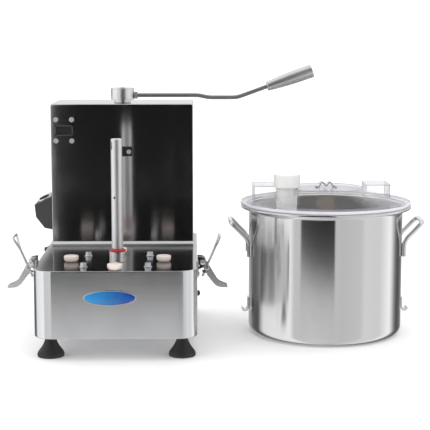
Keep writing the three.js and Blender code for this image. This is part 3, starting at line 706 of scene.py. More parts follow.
def foot_strip():
    """The strip that leads the deck up into the tower's front: upright below, sloping above."""
    front, back = span("tower_foot_strip", 1)
    low, high = span("tower_foot_strip", 2)
    top, slope_start = high - 3.5, low + 3.5
    corners = [(front, low), (back, low), (back, top), (back - 1, top, 0.6), (front, slope_start, 0.6)]
    return prism(filleted(corners, 0, 4, closed=True), TOWER_LEFT, TOWER_RIGHT, "x")


def foot(node):
    """A bell-shaped rubber foot with a moulded ring round its rim."""
    radius, top = half_width(node), span(node, 2)[1]
    sole = [(0, 0.8), (radius - 7, 0.8), (radius - 6, 0), (radius - 0.8, 0, 1.4)]
    rim = [(radius, 3.4, 2.2), (radius - 0.9, 7.6, 2)]
    cone = [(14.2, 18.5, 3), (9.6, 28.5, 3), (9.5, top), (0, top)]
    return turned([*sole, *rim, *cone], 0.4, 56)


piece("foot_strip", foot_strip(), "bright", stands_for="tower_foot_strip")
for row in ("front", "rear"):
    for side in ("left", "right"):
        node = f"foot_{row}_{side}"
        piece(f"rubber_foot_{row}_{side}", foot(node), "rubber", anchor=axis_of(node), stands_for=node)


# ---------------------------------------------------------------- machine: deck fittings
PAD_RADIUS = half_width("bowl_pad_left")
PAD_LOW, PAD_TOP = span("bowl_pad_left", 2)
PAD_RIM = 4.2  # width of the raised ring round a pad's face


def pad_ring():
    edge = PAD_RADIUS
    wall = [(edge - 3, PAD_LOW, 0.6), (edge, PAD_LOW + 3.5, 2.5), (edge, PAD_TOP - 0.5, 3.4)]
    rim = [(edge - 3.6, PAD_TOP + 0.1, 0.8), (edge - PAD_RIM, PAD_TOP - 0.9, 0.3)]
    return turned([(0, PAD_LOW), *wall, *rim, (0, PAD_TOP - 1.2)], 0.5, 56)


def pad_face():
    radius = PAD_RADIUS - PAD_RIM - 0.4
    edge = [(radius, PAD_TOP - 1.4), (radius - 0.1, PAD_TOP - 0.6, 0.3), (PAD_RADIUS - 7, PAD_TOP - 0.9, 1)]
    return turned([(0, PAD_TOP - 1.4), *edge, (0, PAD_TOP - 1.0)], 0.3, 48)


for side in ("front", "rear", "left", "right"):
    node = f"bowl_pad_{side}"
    piece(f"rest_pad_{side}", pad_ring(), "cream", anchor=axis_of(node), stands_for=node)
    piece(f"rest_pad_face_{side}", pad_face(), "pink", anchor=axis_of(node))


def cap_nut(low, high, corner):
    """A low domed hexagon head on its washer, with one corner to the front."""
    seat = low + 0.9
    washer = turned([(0, low), (corner + 1.2, low), (corner + 1.2, seat), (0, seat)], 0.3, 36)
    hexagon = prism(round_points(corner, 6, TAU / 4), seat, high - 0.9)
    crown = [(corner * 0.84, high - 1.2), (corner * 0.8, high - 0.6, 0.8)]
    return together(washer, hexagon, turned([(0, high - 1.2), *crown, (0, high)], 0.4, 36))


for row in ("front", "rear"):
    for side in ("left", "right"):
        node = f"deck_nut_{row}_{side}"
        nut = cap_nut(*span(node, 2), half_width(node))
        piece(f"cap_nut_{row}_{side}", nut, "bright", anchor=axis_of(node), stands_for=node, bevel=0.3)

SPINDLE_RADIUS = half_width("drive_spindle")
SPINDLE_LOW, SPINDLE_TOP = span("drive_spindle", 2)
CHAMFER = 1.5
BORE = SPINDLE_RADIUS + GAP
COLLAR_LOW, COLLAR_TOP = span("shaft_collar", 2)
COLLAR_RADIUS = half_width("shaft_collar")
KEYWAY_TURN, HOLE_TURN = 213, 248  # degrees round the spindle


def collar():
    """A turned collar with a groove low down, chamfered at the top."""
    edge, waist = COLLAR_RADIUS, COLLAR_RADIUS - 1.5
    groove = COLLAR_LOW + 6
    notch = [(edge, groove, 0.3), (waist, groove + 0.3, 0.2)]
    notch += [(waist, groove + 1.5, 0.2), (edge, groove + 1.8, 0.3)]
    top = [(edge, COLLAR_TOP - 1, 0.4), (edge - 1, COLLAR_TOP, 0.4), (BORE, COLLAR_TOP)]
    return turned([(BORE, COLLAR_LOW), (edge, COLLAR_LOW, 0.2), *notch, *top], 0.3, 72, closed=True)


def lip_seal():
    low, high = span("shaft_seal", 2)
    radius = half_width("shaft_seal")
    flange = [(radius, low, 0.4), (radius - 0.2, low + 1.4, 0.6), (radius - 1.6, low + 1.9, 0.6)]
    lip = [(BORE + 1, high - 0.5, 0.5), (BORE, high, 0.2)]
    return turned([(BORE, low), *flange, *lip], 0.3, 72, closed=True)


def spindle():
    edge, shoulder = SPINDLE_RADIUS, SPINDLE_TOP - CHAMFER
    wall = [(edge, SPINDLE_LOW), (edge, shoulder - 0.3), (edge - 0.15, shoulder)]
    end = [(edge - CHAMFER + 0.2, SPINDLE_TOP - 0.15), (edge - CHAMFER - 0.2, SPINDLE_TOP)]
    return lathe([(0, SPINDLE_LOW), *wall, *end, (0, SPINDLE_TOP)], 96)


def spindle_cuts():
    """A keyway near the top, a cross hole half way up and a centre mark on the end."""
    keyway = box(SPINDLE_RADIUS - 6, SPINDLE_RADIUS + 3, -2.2, 2.2, SPINDLE_TOP - 18, SPINDLE_TOP - 5)
    hole = facing_side(turned([(0, 0), (2, 0), (2, 30), (0, 30)], 0, 24), 1, 0, 0, SPINDLE_TOP - 101)
    centre = turned([(0, SPINDLE_TOP - 4), (3, SPINDLE_TOP + 0.5), (0, SPINDLE_TOP + 0.5)], 0, 24)
    return [moved(keyway, turn=math.radians(KEYWAY_TURN)), moved(hole, turn=math.radians(HOLE_TURN)), centre]


def sensor_block():
    left, right = span("bowl_sensor_block", 0)
    front, back = span("bowl_sensor_block", 1)
    low, high = span("bowl_sensor_block", 2)
    body = prism(rectangle(left, right, low, high, 3, steps=5), front, back, "y")
    return together(body, prism(rectangle(-7, 7, low + 3, high - 3, 2, steps=4), front - 1, front + 1, "y"))


piece("turned_collar", collar(), "turned", stands_for="shaft_collar")
piece("lip_seal", lip_seal(), "red_rubber", stands_for="shaft_seal")
piece("turned_spindle", spindle(), "ground", "main_shaft", stands_for="drive_spindle", cut=spindle_cuts())
piece("sensor_block", sensor_block(), "black", stands_for="bowl_sensor_block", bevel=0.8)
SENSOR_FRONT = span("bowl_sensor_block", 1)[0]
SENSOR_MIDDLE = sum(span("bowl_sensor_block", 2)) / 2
for side, x in (("left", -13), ("right", 13)):
    screw = facing_front(socket_screw(4.2, 2.6, 1.8), x, SENSOR_FRONT, SENSOR_MIDDLE)
    piece(f"sensor_screw_{side}", screw, "bright")


# ---------------------------------------------------------------- machine: switch box and small trim
BOX_FRONT, BOX_BACK = span("switch_box", 1)
BOX_OUT, BOX_WALL = span("switch_box", 0)
BOX_LOW, BOX_TOP = span("switch_box", 2)
SLOPE_LOW = BOX_TOP - 16  # height of the sloping top at its outer edge
SLOPE = math.atan2(BOX_TOP - SLOPE_LOW, BOX_WALL - BOX_OUT)
SLOPE_X, SLOPE_Z = (BOX_OUT + BOX_WALL) / 2, (SLOPE_LOW + BOX_TOP) / 2


def on_slope(shape, y, lift=0.0):
    """Puts a shape made round Z at the origin on the switch box's sloping top."""
    return moved(moved(moved(shape, (0, 0, lift)), turn=-SLOPE, about="Y"), (SLOPE_X, y, SLOPE_Z))


def switch_body():
    corners = [(BOX_WALL, BOX_LOW), (BOX_OUT + 18, BOX_LOW + 3, 2.5), (BOX_OUT + 2, BOX_LOW + 24, 3)]
    corners += [(BOX_OUT, SLOPE_LOW, 0.6), (BOX_WALL, BOX_TOP)]
    body = prism(filleted(corners, 1, 5, closed=True), BOX_FRONT, BOX_BACK, "y")
    return together(body, on_slope(box(-19.6, 17.6, BOX_FRONT - 0.4, BOX_BACK - 1, -1.6, 0.9), 0))


def button_bezel():
    profile = [(10.6, -3), (13.2, -3), (13.2, 1.2, 0.8), (11.2, 1.8, 0.6), (10.6, 1, 0.3)]
    return turned(profile, 0.3, 56, closed=True)


def button_cap(proud):
    return turned([(0, -6), (10, -6), (10, proud - 1.6, 1.2), (8.4, proud, 1.2), (0, proud + 0.4)], 0.5, 56)


piece("switch_housing", switch_body(), "grey", stands_for="switch_box", bevel=1.2)
for name, finish, proud in (("stop", "black", 7.2), ("start", "white", 6.0)):
    node = name + "_button"
    y = centre_of(node)[1]
    piece(node + "_bezel", on_slope(button_bezel(), y, 2.0), "chrome")
    piece(node + "_cap", on_slope(button_cap(proud), y), finish, name + "_push", stands_for=node)


def wall_plug(radius, proud):
    dome = [(radius, proud * 0.4, 0.6), (radius * 0.62, proud * 0.9, radius * 0.4), (0, proud)]
    return turned([(0, 0), (radius, 0), *dome], 0.3, 40)


def reset_button(radius, proud):
    """A small hexagon nut with a round push button through it."""
    nut = prism(round_points(1.5 * radius, 6), 0, proud * 0.3)
    cap = [(radius, proud - 1.5, 1), (radius - 1.5, proud, 1), (0, proud)]
    return together(nut, turned([(0, 0), (radius, 0), *cap], 0.4, 36))


def gland():
    """A hexagon body and a ribbed clamping nut with a blanked bore."""
    low, high = span("cable_gland", 1)
    long = high - low
    ribs = []
    for k, (x, y) in enumerate(round_points(1, 48)):
        radius = 9.2 if k % 4 < 2 else 8.7
        ribs.append((radius * x, radius * y))
    neck = turned([(0, 9.5), (8.8, 9.5), (6.5, long, 1.2), (3.8, long, 0.4), (3.8, 6), (0, 6)], 0.5, 48)
    return together(prism(round_points(11, 6), 0, 5.6), prism(ribs, 5.6, 10), neck)


plug_x, plug_out = span("side_plug", 0)
plug = facing_side(wall_plug(5, plug_out - plug_x), 1, plug_x, *centre_of("side_plug")[1:])
piece("wall_plug", plug, "black", stands_for="side_plug")
reset_out, reset_x = span("overload_reset", 0)
reset = facing_side(reset_button(4.6, reset_x - reset_out), -1, reset_x, *centre_of("overload_reset")[1:])
piece("reset_button", reset, "black", stands_for="overload_reset", bevel=0.3)
gland_x, _, gland_z = centre_of("cable_gland")
power_gland = facing_back(gland(), gland_x, span("cable_gland", 1)[0], gland_z)
piece("power_gland", power_gland, "black", stands_for="cable_gland", bevel=0.3)

BADGE_X, _, BADGE_Z = centre_of("badge")
BADGE_BACK = BASE_FRONT - 0.05


def oval(inset, out):
    wide, tall = half_width("badge") - inset, half_width("badge", 2) - inset
    return [(BADGE_X + wide * a, BADGE_BACK - out, BADGE_Z + tall * b) for a, b in round_points(1, 96)]


enamel = stacked([oval(inset, out) for inset, out in ((1, 0), (1, 1.0), (1.5, 1.2), (4, 1.4), (8, 1.5))])
piece("badge_plate", enamel, "enamel", stands_for="badge")
piece("badge_rim", swept([Vector(p) for p in oval(0.8, 0.7)], 0.75, 12, closed=True), "chrome")


# ---------------------------------------------------------------- lid lever on the tower's top
HUB_LOW, HUB_TOP = span("lever_hub", 2, LEVER)
HUB_LIP = 4.6  # how far the hub's wall stops above its foot
HUB_RADIUS = half_width("lever_hub")
ROD = 3.75
ROD_Z = sum(span("lever_nut", 2, LEVER)) / 2
PRESS_Z = span("lever_rod", 2, LEVER)[0] + ROD  # the stretch that presses on the lid
GRIP_START = Vector((268, 0, 447))
GRIP_END = Vector((353, 0, 476.5))


def hub():
    edge, groove, rim = HUB_RADIUS, HUB_RADIUS - 0.5, HUB_RADIUS - 12
    foot_wall = [(edge - 6, HUB_LOW, 0.3), (edge - 6, HUB_LOW + HUB_LIP, 0.3), (edge, HUB_LOW + HUB_LIP, 0.8)]
    line = [(edge, HUB_TOP - 3.2, 0.3), (groove, HUB_TOP - 2.9, 0.2), (groove, HUB_TOP - 2.4, 0.2)]
    top = [(edge, HUB_TOP - 2.1, 0.3), (edge, HUB_TOP, 1.2), (rim, HUB_TOP, 0.4)]
    top.append((rim - 0.6, HUB_TOP - 1.2, 0.4))
    return turned([(0, HUB_LOW), *foot_wall, *line, *top, (0, HUB_TOP - 1.2)], 0.3, 112)


def bush():
    low, high = span("lever_bush", 2, LEVER)
    radius, seat = half_width("lever_bush"), TOWER_TOP + GAP
    return turned([(0, low), (11, low), (11, seat), (radius, seat, 0.3), (radius, high), (0, high)], 0.3)


def rod():
    low = span("lever_rod", 0, LEVER)[0]
    corners = [(low, 0, ROD_Z), (142, 0, ROD_Z), (160, 0, PRESS_Z), (213, 0, PRESS_Z), tuple(GRIP_START)]
    return swept(bent(corners, 9, 8), ROD, 32)


def along_line(shape, start, end):
    """Lays a shape made on +Z from the origin along a line in the XZ plane."""
    lean = math.atan2(end.x - start.x, end.z - start.z)
    return moved(moved(shape, turn=lean, about="Y"), tuple(start))


def grip():
    """A hollow metal grip that swells towards its blunt end."""
    long = (GRIP_END - GRIP_START).length
    thin, thick = 9.0, 12.4
    collar_end = [(thin - 3, GAP, 0.5), (thin - 0.4, GAP + 0.6, 1.2), (thin, GAP + 3, 1)]
    swell = [(thin + 1.5, long * 0.22, 8), (thick - 0.7, long * 0.42, 8), (thick, long * 0.62, 8)]
    mouth = [(thick, long, 1.0), (thick - 1.6, long, 0.4), (thick - 2, long - 0.9, 0.3), (0, long - 0.9)]
    return along_line(turned([(0, GAP), *collar_end, *swell, *mouth], 0.5, 64), GRIP_START, GRIP_END)


def lock_nut():
    low, high = span("lever_nut", 0, LEVER)
    body = prism([(y, ROD_Z + z) for y, z in round_points(7.5, 6)], low, high, "x")
    ring = turned([(0, 0), (6.4, 0), (6.4, 0.8, 0.3), (0, 0.8)], 0.2, 40)
    return together(body, facing_side(ring, 1, high - 0.3, 0, ROD_Z))


piece("hub_bush", bush(), "bright", anchor=LEVER, stands_for="lever_bush")
hub_screw = moved(socket_screw(5.5, 2.2, 2.6), (0, 0, HUB_TOP - 1.3))
piece("pivot_hub", hub(), "turned", "lid_lever", LEVER, stands_for="lever_hub")
piece("hub_screw", hub_screw, "satin", "lid_lever", LEVER)
piece("lock_nut", lock_nut(), "satin", "lid_lever", LEVER, stands_for="lever_nut", bevel=0.5)
piece("bent_rod", rod(), "dull_rod", "lid_lever", LEVER, stands_for="lever_rod")
piece("metal_grip", grip(), "brushed_rod", "lid_lever", LEVER, stands_for="lever_grip")


# ---------------------------------------------------------------- latches, drawn for the right side
WALL = BASE_RIGHT + GAP
PIVOT = Vector((147.5, 0, 154.5))
RIVET = Vector((155, 0, 143))
BEND = Vector((172, 0, 115))
TIP = Vector((190, 0, 110))
BAIL_FOOT = Vector((147, 0, 127.6))
BAIL_SPLIT = Vector((168.8, 0, 178.7))
PLATE_LOW, PLATE_HIGH = span("latch_bracket_right", 2)[0], 158
EAR_LOW, EAR_HIGH = 140, 164
LATCH_HALF = 8.0  # half the lever channel's width
CHANNEL_HALF = 4.8  # half the channel's depth


def bracket():
    """A back plate with two ears, and the pivot pin with its riveted heads."""
    corners = [(-14, PLATE_LOW), (14, PLATE_LOW), (14, PLATE_HIGH), (-14, PLATE_HIGH)]
    plate = prism(filleted(corners, 4, 5, closed=True), WALL, WALL + 2, "x")
    nose = [(PIVOT.x + 3, 146, 4), (PIVOT.x + 6, PIVOT.z, 5), (PIVOT.x + 3, PIVOT.z + 8, 5)]
    top = [(WALL + 2, EAR_HIGH, 3), (WALL, EAR_HIGH, 0)]
    ear = filleted([(WALL, EAR_LOW, 0), *nose, *top], 3, 5, closed=True)
    ears = twin_plates(ear, LATCH_HALF + GAP, LATCH_HALF + GAP + 2)
    half_pin = [(2.4, 10.2), (5.2, 10.3), (5.2, 11.4, 0.4), (3.4, 11.5), (3.4, 12.6, 0.6)]
    half_pin += [(2.2, 12.9, 0.4), (1.6, 12.2, 0.3), (0, 12.2)]
    return together(plate, *ears, facing_front(turned(mirrored(half_pin), 0.3, 32), *PIVOT))


def lever_arm():
    """The channel-shaped lever, from the pivot down past the rivet and out to the tip, with its cross rivet."""
    half = CHANNEL_HALF
    outer = [(PIVOT.x - 2, PIVOT.z + half, 3.5), (PIVOT.x + 4.6, PIVOT.z + 2, 3)]
    outer += [(RIVET.x + half, RIVET.z + 1.5, 3), (BEND.x + 2.2, BEND.z + half, 8)]
    tip = [(TIP.x, TIP.z + half - 1, 0.8), (TIP.x, TIP.z - 1, 1.2)]
    inner = [(BEND.x - 1, BEND.z - half, 9), (RIVET.x - half, RIVET.z - 2.2, 4)]
    inner.append((PIVOT.x - 4.6, PIVOT.z - 3, 4))
    sides = twin_plates(filleted([*outer, *tip, *inner], 3, 6, closed=True), 5.4, LATCH_HALF)
    upper = [(RIVET.x - half + 6, RIVET.z - 10.2, 0.6), (BEND.x + 0.6, BEND.z - half + 1.6, 7)]
    end = [(TIP.x + 1, TIP.z + 0.6, 0.5), (TIP.x, TIP.z - 1, 0.5)]
    lower = [(BEND.x - 1, BEND.z - half, 9), (RIVET.x - half + 4, RIVET.z - 11.2, 0.6)]
    web = filleted([*upper, *end, *lower], 1, 6, closed=True)
    half_rivet = [(2.6, 7.9), (3.6, 8), (3.6, 9, 0.6), (2, 9.6), (0, 9.6)]
    rivet = facing_front(turned(mirrored(half_rivet), 0.3, 32), *RIVET)
    return together(*sides, prism(web, -6.4, 6.4, "y"), rivet)


def threaded_end():
    """Thread ridges on the bail's stem, with the nut that holds it in its eye."""
    length, pitch = 13.0, 1.25
    core, crest = 2.0, 2.5
    profile = [(0, 0), (1.6, 0)]
    z = 0.5
    while z < length:
        profile += [(crest, z), (core, z + pitch / 2)]
        z += pitch
    profile += [(core, length), (0, length)]
    return together(lathe(profile, 24), prism(round_points(4.6, 6), 7.6, 11))


def bail():
    """A closed wire loop on a stem that carries an eye for the lever's cross rivet."""
    stem = swept([BAIL_FOOT + (BAIL_SPLIT - BAIL_FOOT) * 0.2, BAIL_SPLIT], 2.4, 24)
    eye = turned([(3, -2.6), (5.4, -2.6, 0.6), (5.4, 2.6, 0.6), (3, 2.6)], 0.2, 40, closed=True)
    top = [(175.5, -19, 195), (176.8, -17, 199.6), (176.8, 17, 199.6), (175.5, 19, 195)]
    bottom = tuple(BAIL_SPLIT - (BAIL_SPLIT - BAIL_FOOT) * 0.03)
    loop = swept(bent([bottom, *top, bottom], 5, 8), 2.0, 20)
    thread = along_line(threaded_end(), BAIL_FOOT, BAIL_SPLIT)
    return together(stem, facing_front(eye, *RIVET), loop, thread)


for side, turn in (("right", 0.0), ("left", TAU / 2)):
    mount, arm, wire = f"latch_bracket_{side}", f"latch_lever_{side}", f"latch_bail_{side}"
    piece(f"latch_mount_{side}", bracket(), "chrome", turn=turn, stands_for=mount, bevel=0.4)
    for row, z in (("upper", 148), ("lower", 132)):
        for end, y in (("front", -8.8), ("rear", 8.8)):
            screw = facing_side(dome_screw(2.6, 2.0), 1, WALL + 2, y, z)
            piece(f"mount_screw_{row}_{end}_{side}", screw, "chrome", turn=turn)
    piece(f"latch_channel_{side}", lever_arm(), "satin", f"latch_arm_{side}", MACHINE, turn, arm, bevel=0.4)
    piece(f"wire_bail_{side}", bail(), "rod", f"bail_{side}", MACHINE, turn, wire)


# ---------------------------------------------------------------- bowl
BOWL_RADIUS = 140.0
BOWL_WALL = 1.6
BOWL_CORNER = 16.0
NECK = 224.0  # height at which the wall turns out to the rolled rim
RIM_RADIUS = half_width("bowl_shell")
RIM_TOP = span("bowl_shell", 2, BOWL)[1]
TUBE_IN, TUBE_OUT, TUBE_TOP = 16.5, 18.0, 150.0


def shell():
    """Spun bowl: rounded foot, straight wall, turned-out and rolled rim, and the centre tube."""
    corner, inside = BOWL_CORNER, BOWL_RADIUS - BOWL_WALL
    step = BOWL_RADIUS - corner - 14
    roll = (RIM_TOP - NECK - 7) / 2
    profile = [
        *[(TUBE_IN, 0), (TUBE_IN + 30, 0), (TUBE_IN + 31, 0.8), (step, 0.8), (step + 2, 0)],
        *arc(BOWL_RADIUS - corner, corner, corner, -88, 0, 12),
        *[(BOWL_RADIUS, z) for z in (corner + 1, 120, NECK - 1, NECK)],
        *arc(BOWL_RADIUS + 5.4, NECK + 1.5, 5.4, 180, 92, 6),
        *arc(RIM_RADIUS - roll, RIM_TOP - roll, roll, -90, 90, 10),
        *arc(inside + 4, RIM_TOP - 4, 4, 90, 180, 6),
        *[(inside, z) for z in (180, 120, 60)],
        *arc(inside - corner, BOWL_WALL + corner, corner, 0, -90, 12),
        *arc(TUBE_OUT + 5, BOWL_WALL + 5, 5, 270, 180, 6),
        *[(TUBE_OUT, TUBE_TOP - 0.6), (TUBE_OUT - 0.5, TUBE_TOP)],
        *[(TUBE_IN + 0.4, TUBE_TOP), (TUBE_IN, TUBE_TOP - 0.6)],
    ]
    return lathe([*profile, profile[0]], 160)


HANDLE_ROD = 4.0
HANDLE_SPREAD = 32.0
HANDLE_BEND_Z = 173.0
HANDLE_LOW = span("bowl_handle_right", 2, BOWL)[0]
HANDLE_TOP = span("bowl_handle_right", 2, BOWL)[1] - HANDLE_ROD
HANDLE_OUT = span("bowl_handle_right", 0, BOWL)[1] - HANDLE_ROD


def handle():
    """A rod welded to the wall by two upright legs, bent out and up to the grip."""
    wall = math.sqrt((BOWL_RADIUS + HANDLE_ROD + GAP) ** 2 - HANDLE_SPREAD**2)

    def leg(y):
        return [(wall, y, HANDLE_LOW + 1), (wall, y, HANDLE_BEND_Z, 12), (HANDLE_OUT, y, HANDLE_TOP, 12)]

    return swept(bent([*leg(-HANDLE_SPREAD), *reversed(leg(HANDLE_SPREAD))], 12, 10), HANDLE_ROD, 28)


def weld_bead(side):
    """A lumpy weld line down each side of a handle's leg."""
    wall = math.sqrt(BOWL_RADIUS**2 - HANDLE_SPREAD**2)
    steps = range(25)
    path = [Vector((wall + 1.2, side * HANDLE_SPREAD + 3.4, HANDLE_LOW + 3 + k * 0.95)) for k in steps]
    return swept(path, [1.5 + 0.35 * math.sin(k * 1.9) for k in steps], 12)


def catch():
    """A bent strip with its hook open upwards, for the latch bail."""
    start, thick, bend = BOWL_RADIUS + GAP, 2.4, 6.6
    low, high = 45, 64
    outer = arc(start + bend, low, bend, -180, 0, 14)
    inner = arc(start + bend, low, bend - thick, 0, -180, 14)
    return prism([(start, high), *outer, *inner, (start + thick, high)], -11, 11, "y")


piece("spun_bowl", shell(), "spun", "bowl", BOWL, stands_for="bowl_shell")
for side, turn in (("right", 0.0), ("left", TAU / 2)):
    rods = together(handle(), weld_bead(-1), weld_bead(1))
    hook = f"bowl_catch_{side}"
    piece(f"rod_handle_{side}", rods, "rod", "bowl", BOWL, turn, f"bowl_handle_{side}")
    piece(f"hook_catch_{side}", catch(), "satin", "bowl", BOWL, turn, hook, bevel=0.5)


# ---------------------------------------------------------------- blade set
HUB_FOOT, HUB_PEAK = span("blade_hub", 2, BOWL)
CAP_RADIUS = 17
CAP_GROOVES = ((172, 177), (186, 191))  # low and high


def blade_hub():
    """The nylon hub that slides over the centre tube, with grip grooves on its cap."""
    bore = SPINDLE_RADIUS + 0.8
    inside = [(0, HUB_PEAK - 9), (bore, HUB_PEAK - 9), (bore, 160)]
    inside += [(TUBE_OUT + 1, 156, 1), (TUBE_OUT + 1, HUB_FOOT)]
    skirt = [(25, HUB_FOOT, 0.8), (25, 150, 2), (CAP_RADIUS, 162, 2)]
    grooves = []
    for low, high in CAP_GROOVES:
        grooves += [(CAP_RADIUS, low, 0.4), (CAP_RADIUS - 1, low + 1, 0.4)]
        grooves += [(CAP_RADIUS - 1, high - 1, 0.4), (CAP_RADIUS, high, 0.4)]
    return turned([*inside, *skirt, *grooves, (CAP_RADIUS, 200, 3), (12, HUB_PEAK, 3), (0, HUB_PEAK)])


def blade(node):
    """Two sickle arms on a ring. Each arm sweeps back to its tip and thins towards its cutting edge."""
    low, high = span(node, 2, BOWL)
    middle = (low + high) / 2
    root, reach, steps = 28.0, 129.5, 28
    shapes = [turned([(25.7, low), (34, low, 0.4), (34, high, 0.4), (25.7, high)], 0.3, 72, closed=True)]
    for start in (0.0, TAU / 2):
        loops = []
        for i in range(steps + 1):
            share = i / steps
            radius = root + (reach - root) * share
            taper = (1 - share) ** 0.6
            back_edge, front_edge = 0.5 * taper + 0.004, -0.15 * taper - 0.004
            grind = front_edge + (back_edge - front_edge) * 0.3
            section = [(back_edge, low), (grind, low), (front_edge, middle), (grind, high), (back_edge, high)]
            loop = []
            for width, z in section:
                angle = start - 1.1 * share**1.5 - width
                loop.append((radius * math.cos(angle), radius * math.sin(angle), z))
            loops.append(loop)
        shapes.append(stacked(loops))
    return together(*shapes)


piece("nylon_hub", blade_hub(), "white", "blades", BOWL, stands_for="blade_hub")
for node, turn in (("blade_lower", 0.6), ("blade_upper", 0.6 + TAU / 4)):
    piece(f"sickle_{node}", blade(node), "polished", "blades", BOWL, turn, node, bevel=0.2)


# ---------------------------------------------------------------- lid
LID_LOW = 238.7
FLANGE_TOP = 242.5
FLANGE_START = 129.0  # radius at which the dome's slope meets the flange
PLATEAU = 69.0
LID_TOP = 267.0
LID_WALL = 3.0
LID_SLOPE = 0.41  # how far the dome drops for each millimetre outwards
FEED_X, FEED_Y, _ = centre_of("feed_stopper", BOWL)
FEED_OUT, FEED_IN, FEED_TOP = 22.0, 19.5, 270.0
POD_NEAR, POD_TOP, POD_WALL = 76, 269, 2
PODS = {-1: (132, 0, 66), 1: (122, 16, 86)}  # side: how far out the pod reaches, its front and its back
EDGE_LINE = 0.55


def lid_dome():
    under = [(0, LID_TOP - LID_WALL), (PLATEAU - 2, LID_TOP - LID_WALL, 4), (FLANGE_START - 1, LID_LOW, 3)]
    flange = [(RIM_RADIUS, LID_LOW, 0.5), (RIM_RADIUS, FLANGE_TOP, 0.8), (FLANGE_START, FLANGE_TOP, 3)]
    return turned([*under, *flange, (PLATEAU, LID_TOP, 1.5), (0, LID_TOP)], 0.5, 144)


def pod_outline(side, inset, corner):
    far, front, back = PODS[side]
    x0, x1 = sorted((side * (POD_NEAR + inset), side * (far - inset)))
    return rectangle(x0, x1, front + inset, back - inset, corner, steps=5)


def tube(radius, low, high):
    return moved(turned([(0, low), (radius, low), (radius, high), (0, high)], 0, 64), (FEED_X, FEED_Y, 0))


def edge_band():
    """The lid's machined outer edge as an opaque pale lilac band: painted light, standing for the glow that the
    clear edge shows.
    """
    outer, inner = RIM_RADIUS + 0.15, RIM_RADIUS - 2
    low, high = LID_LOW - 0.1, FLANGE_TOP + 0.1
    return turned([(inner, low), (outer, low, 0.5), (outer, high, 0.8), (inner, high)], 0.2, 160, closed=True)


def pod_edge_reflections(side):
    """Thin lilac bars round a pod's top and down its corners: painted lines that stand for the light which the
    clear pod's edges reflect and bend.
    """
    far, front, back = PODS[side]
    top = POD_TOP - 0.5
    shapes = [swept([Vector((x, y, top)) for x, y in pod_outline(side, 0.5, 4.5)], EDGE_LINE, 8, closed=True)]
    for x in sorted((side * (POD_NEAR + 2), side * (far - 2))):
        for y in (front + 2, back - 2):
            radius = math.hypot(x, y)
            low = FLANGE_TOP if radius > FLANGE_START else LID_TOP - (radius - PLATEAU) * LID_SLOPE
            shapes.append(swept([Vector((x, y, low)), Vector((x, y, top))], EDGE_LINE, 8))
    return together(*shapes)


def gasket():
    low, high = span("lid_gasket", 2, BOWL)
    return turned([(145, low), (152, low), (152, high), (145, high)], 0.4, 144, closed=True)


def notch_bracket():
    """A bent strip: two peaks with a valley between them, which takes the lever's rod."""
    base, peak = span("lid_bracket", 2, BOWL)
    thick = 2.0
    under_peak = peak - thick
    valley = base + 4.2
    upper = [(20, base + thick), (14, base + thick, 3), (9, peak, 2.4), (5, peak, 2.4)]
    lower = [(20, base), (12.6, base, 3), (8, under_peak, 1.5), (6, under_peak, 1.5)]
    top = [*[(-p[0], *p[1:]) for p in upper], (0, valley, 2.5), *reversed(upper)]
    bottom = [*lower, (0, valley - thick - 1, 2.5), *reversed([(-p[0], *p[1:]) for p in lower])]
    return prism(filleted([*top, *bottom], 0.4, 5, closed=True), -12, 12, "y")


def stopper():
    low, high = span("feed_stopper", 2, BOWL)
    cap, plug, seat = half_width("feed_stopper"), FEED_IN - 0.9, FEED_TOP + GAP
    bottom = [(0, low + 1), (plug - 3, low + 1, 1), (plug - 2, low, 1), (plug, low + 1, 0.8), (plug, seat)]
    rim = [(cap - 0.4, seat, 0.5), (cap, high - 4, 1), (cap - 0.3, high, 3.2)]
    return turned([*bottom, *rim, (cap - 5, high, 1.5), (cap - 7, high - 0.8, 1.5), (0, high - 1)])


lid_joins = [prism(pod_outline(side, 0, 5), LID_LOW + 1.1, POD_TOP) for side in PODS]
lid_joins.append(tube(FEED_OUT, LID_LOW + 1.3, FEED_TOP))
hollow = (LID_LOW - 9, POD_TOP - POD_WALL)
lid_cuts = [prism(pod_outline(side, POD_WALL, 5 - POD_WALL), *hollow) for side in PODS]
lid_cuts.append(tube(FEED_IN, LID_LOW - 9, FEED_TOP + 3))
piece("clear_lid", lid_dome(), "clear", "lid", BOWL, stands_for="lid_cover", join=lid_joins, cut=lid_cuts)
# Painted reflection: a thin lilac bar round the plateau's edge, standing for the light that the clear edge
# reflects and bends.
plateau_ring = [Vector((x, y, LID_TOP - 0.3)) for x, y in arc(0, 0, PLATEAU - 0.5, 0, 357.5, 143)]
piece("plateau_edge_reflection", swept(plateau_ring, EDGE_LINE, 8, closed=True), "painted_edge_line", "lid", BOWL)
for side, name in ((-1, "left"), (1, "right")):
    piece(f"pod_edges_{name}", pod_edge_reflections(side), "painted_edge_line", "lid", BOWL)
# Painted light: the pale band stands for the glow of the clear lid's edge.
piece("lid_edge_glow", edge_band(), "painted_glow", "lid", BOWL)
piece("rim_gasket", gasket(), "white", "lid", BOWL, stands_for="lid_gasket")
piece("notch_bracket", notch_bracket(), "polished", "lid", BOWL, stands_for="lid_bracket", bevel=0.3)
for side, x in (("left", -17), ("right", 17)):
    screw = moved(dome_screw(2.6, 1.8), (x, 0, span("lid_bracket", 2, BOWL)[0] + 2.0))
    piece(f"bracket_screw_{side}", screw, "chrome", "lid", BOWL)
piece("stopper_plug", stopper(), "white", "stopper", axis_of("feed_stopper"), stands_for="feed_stopper")


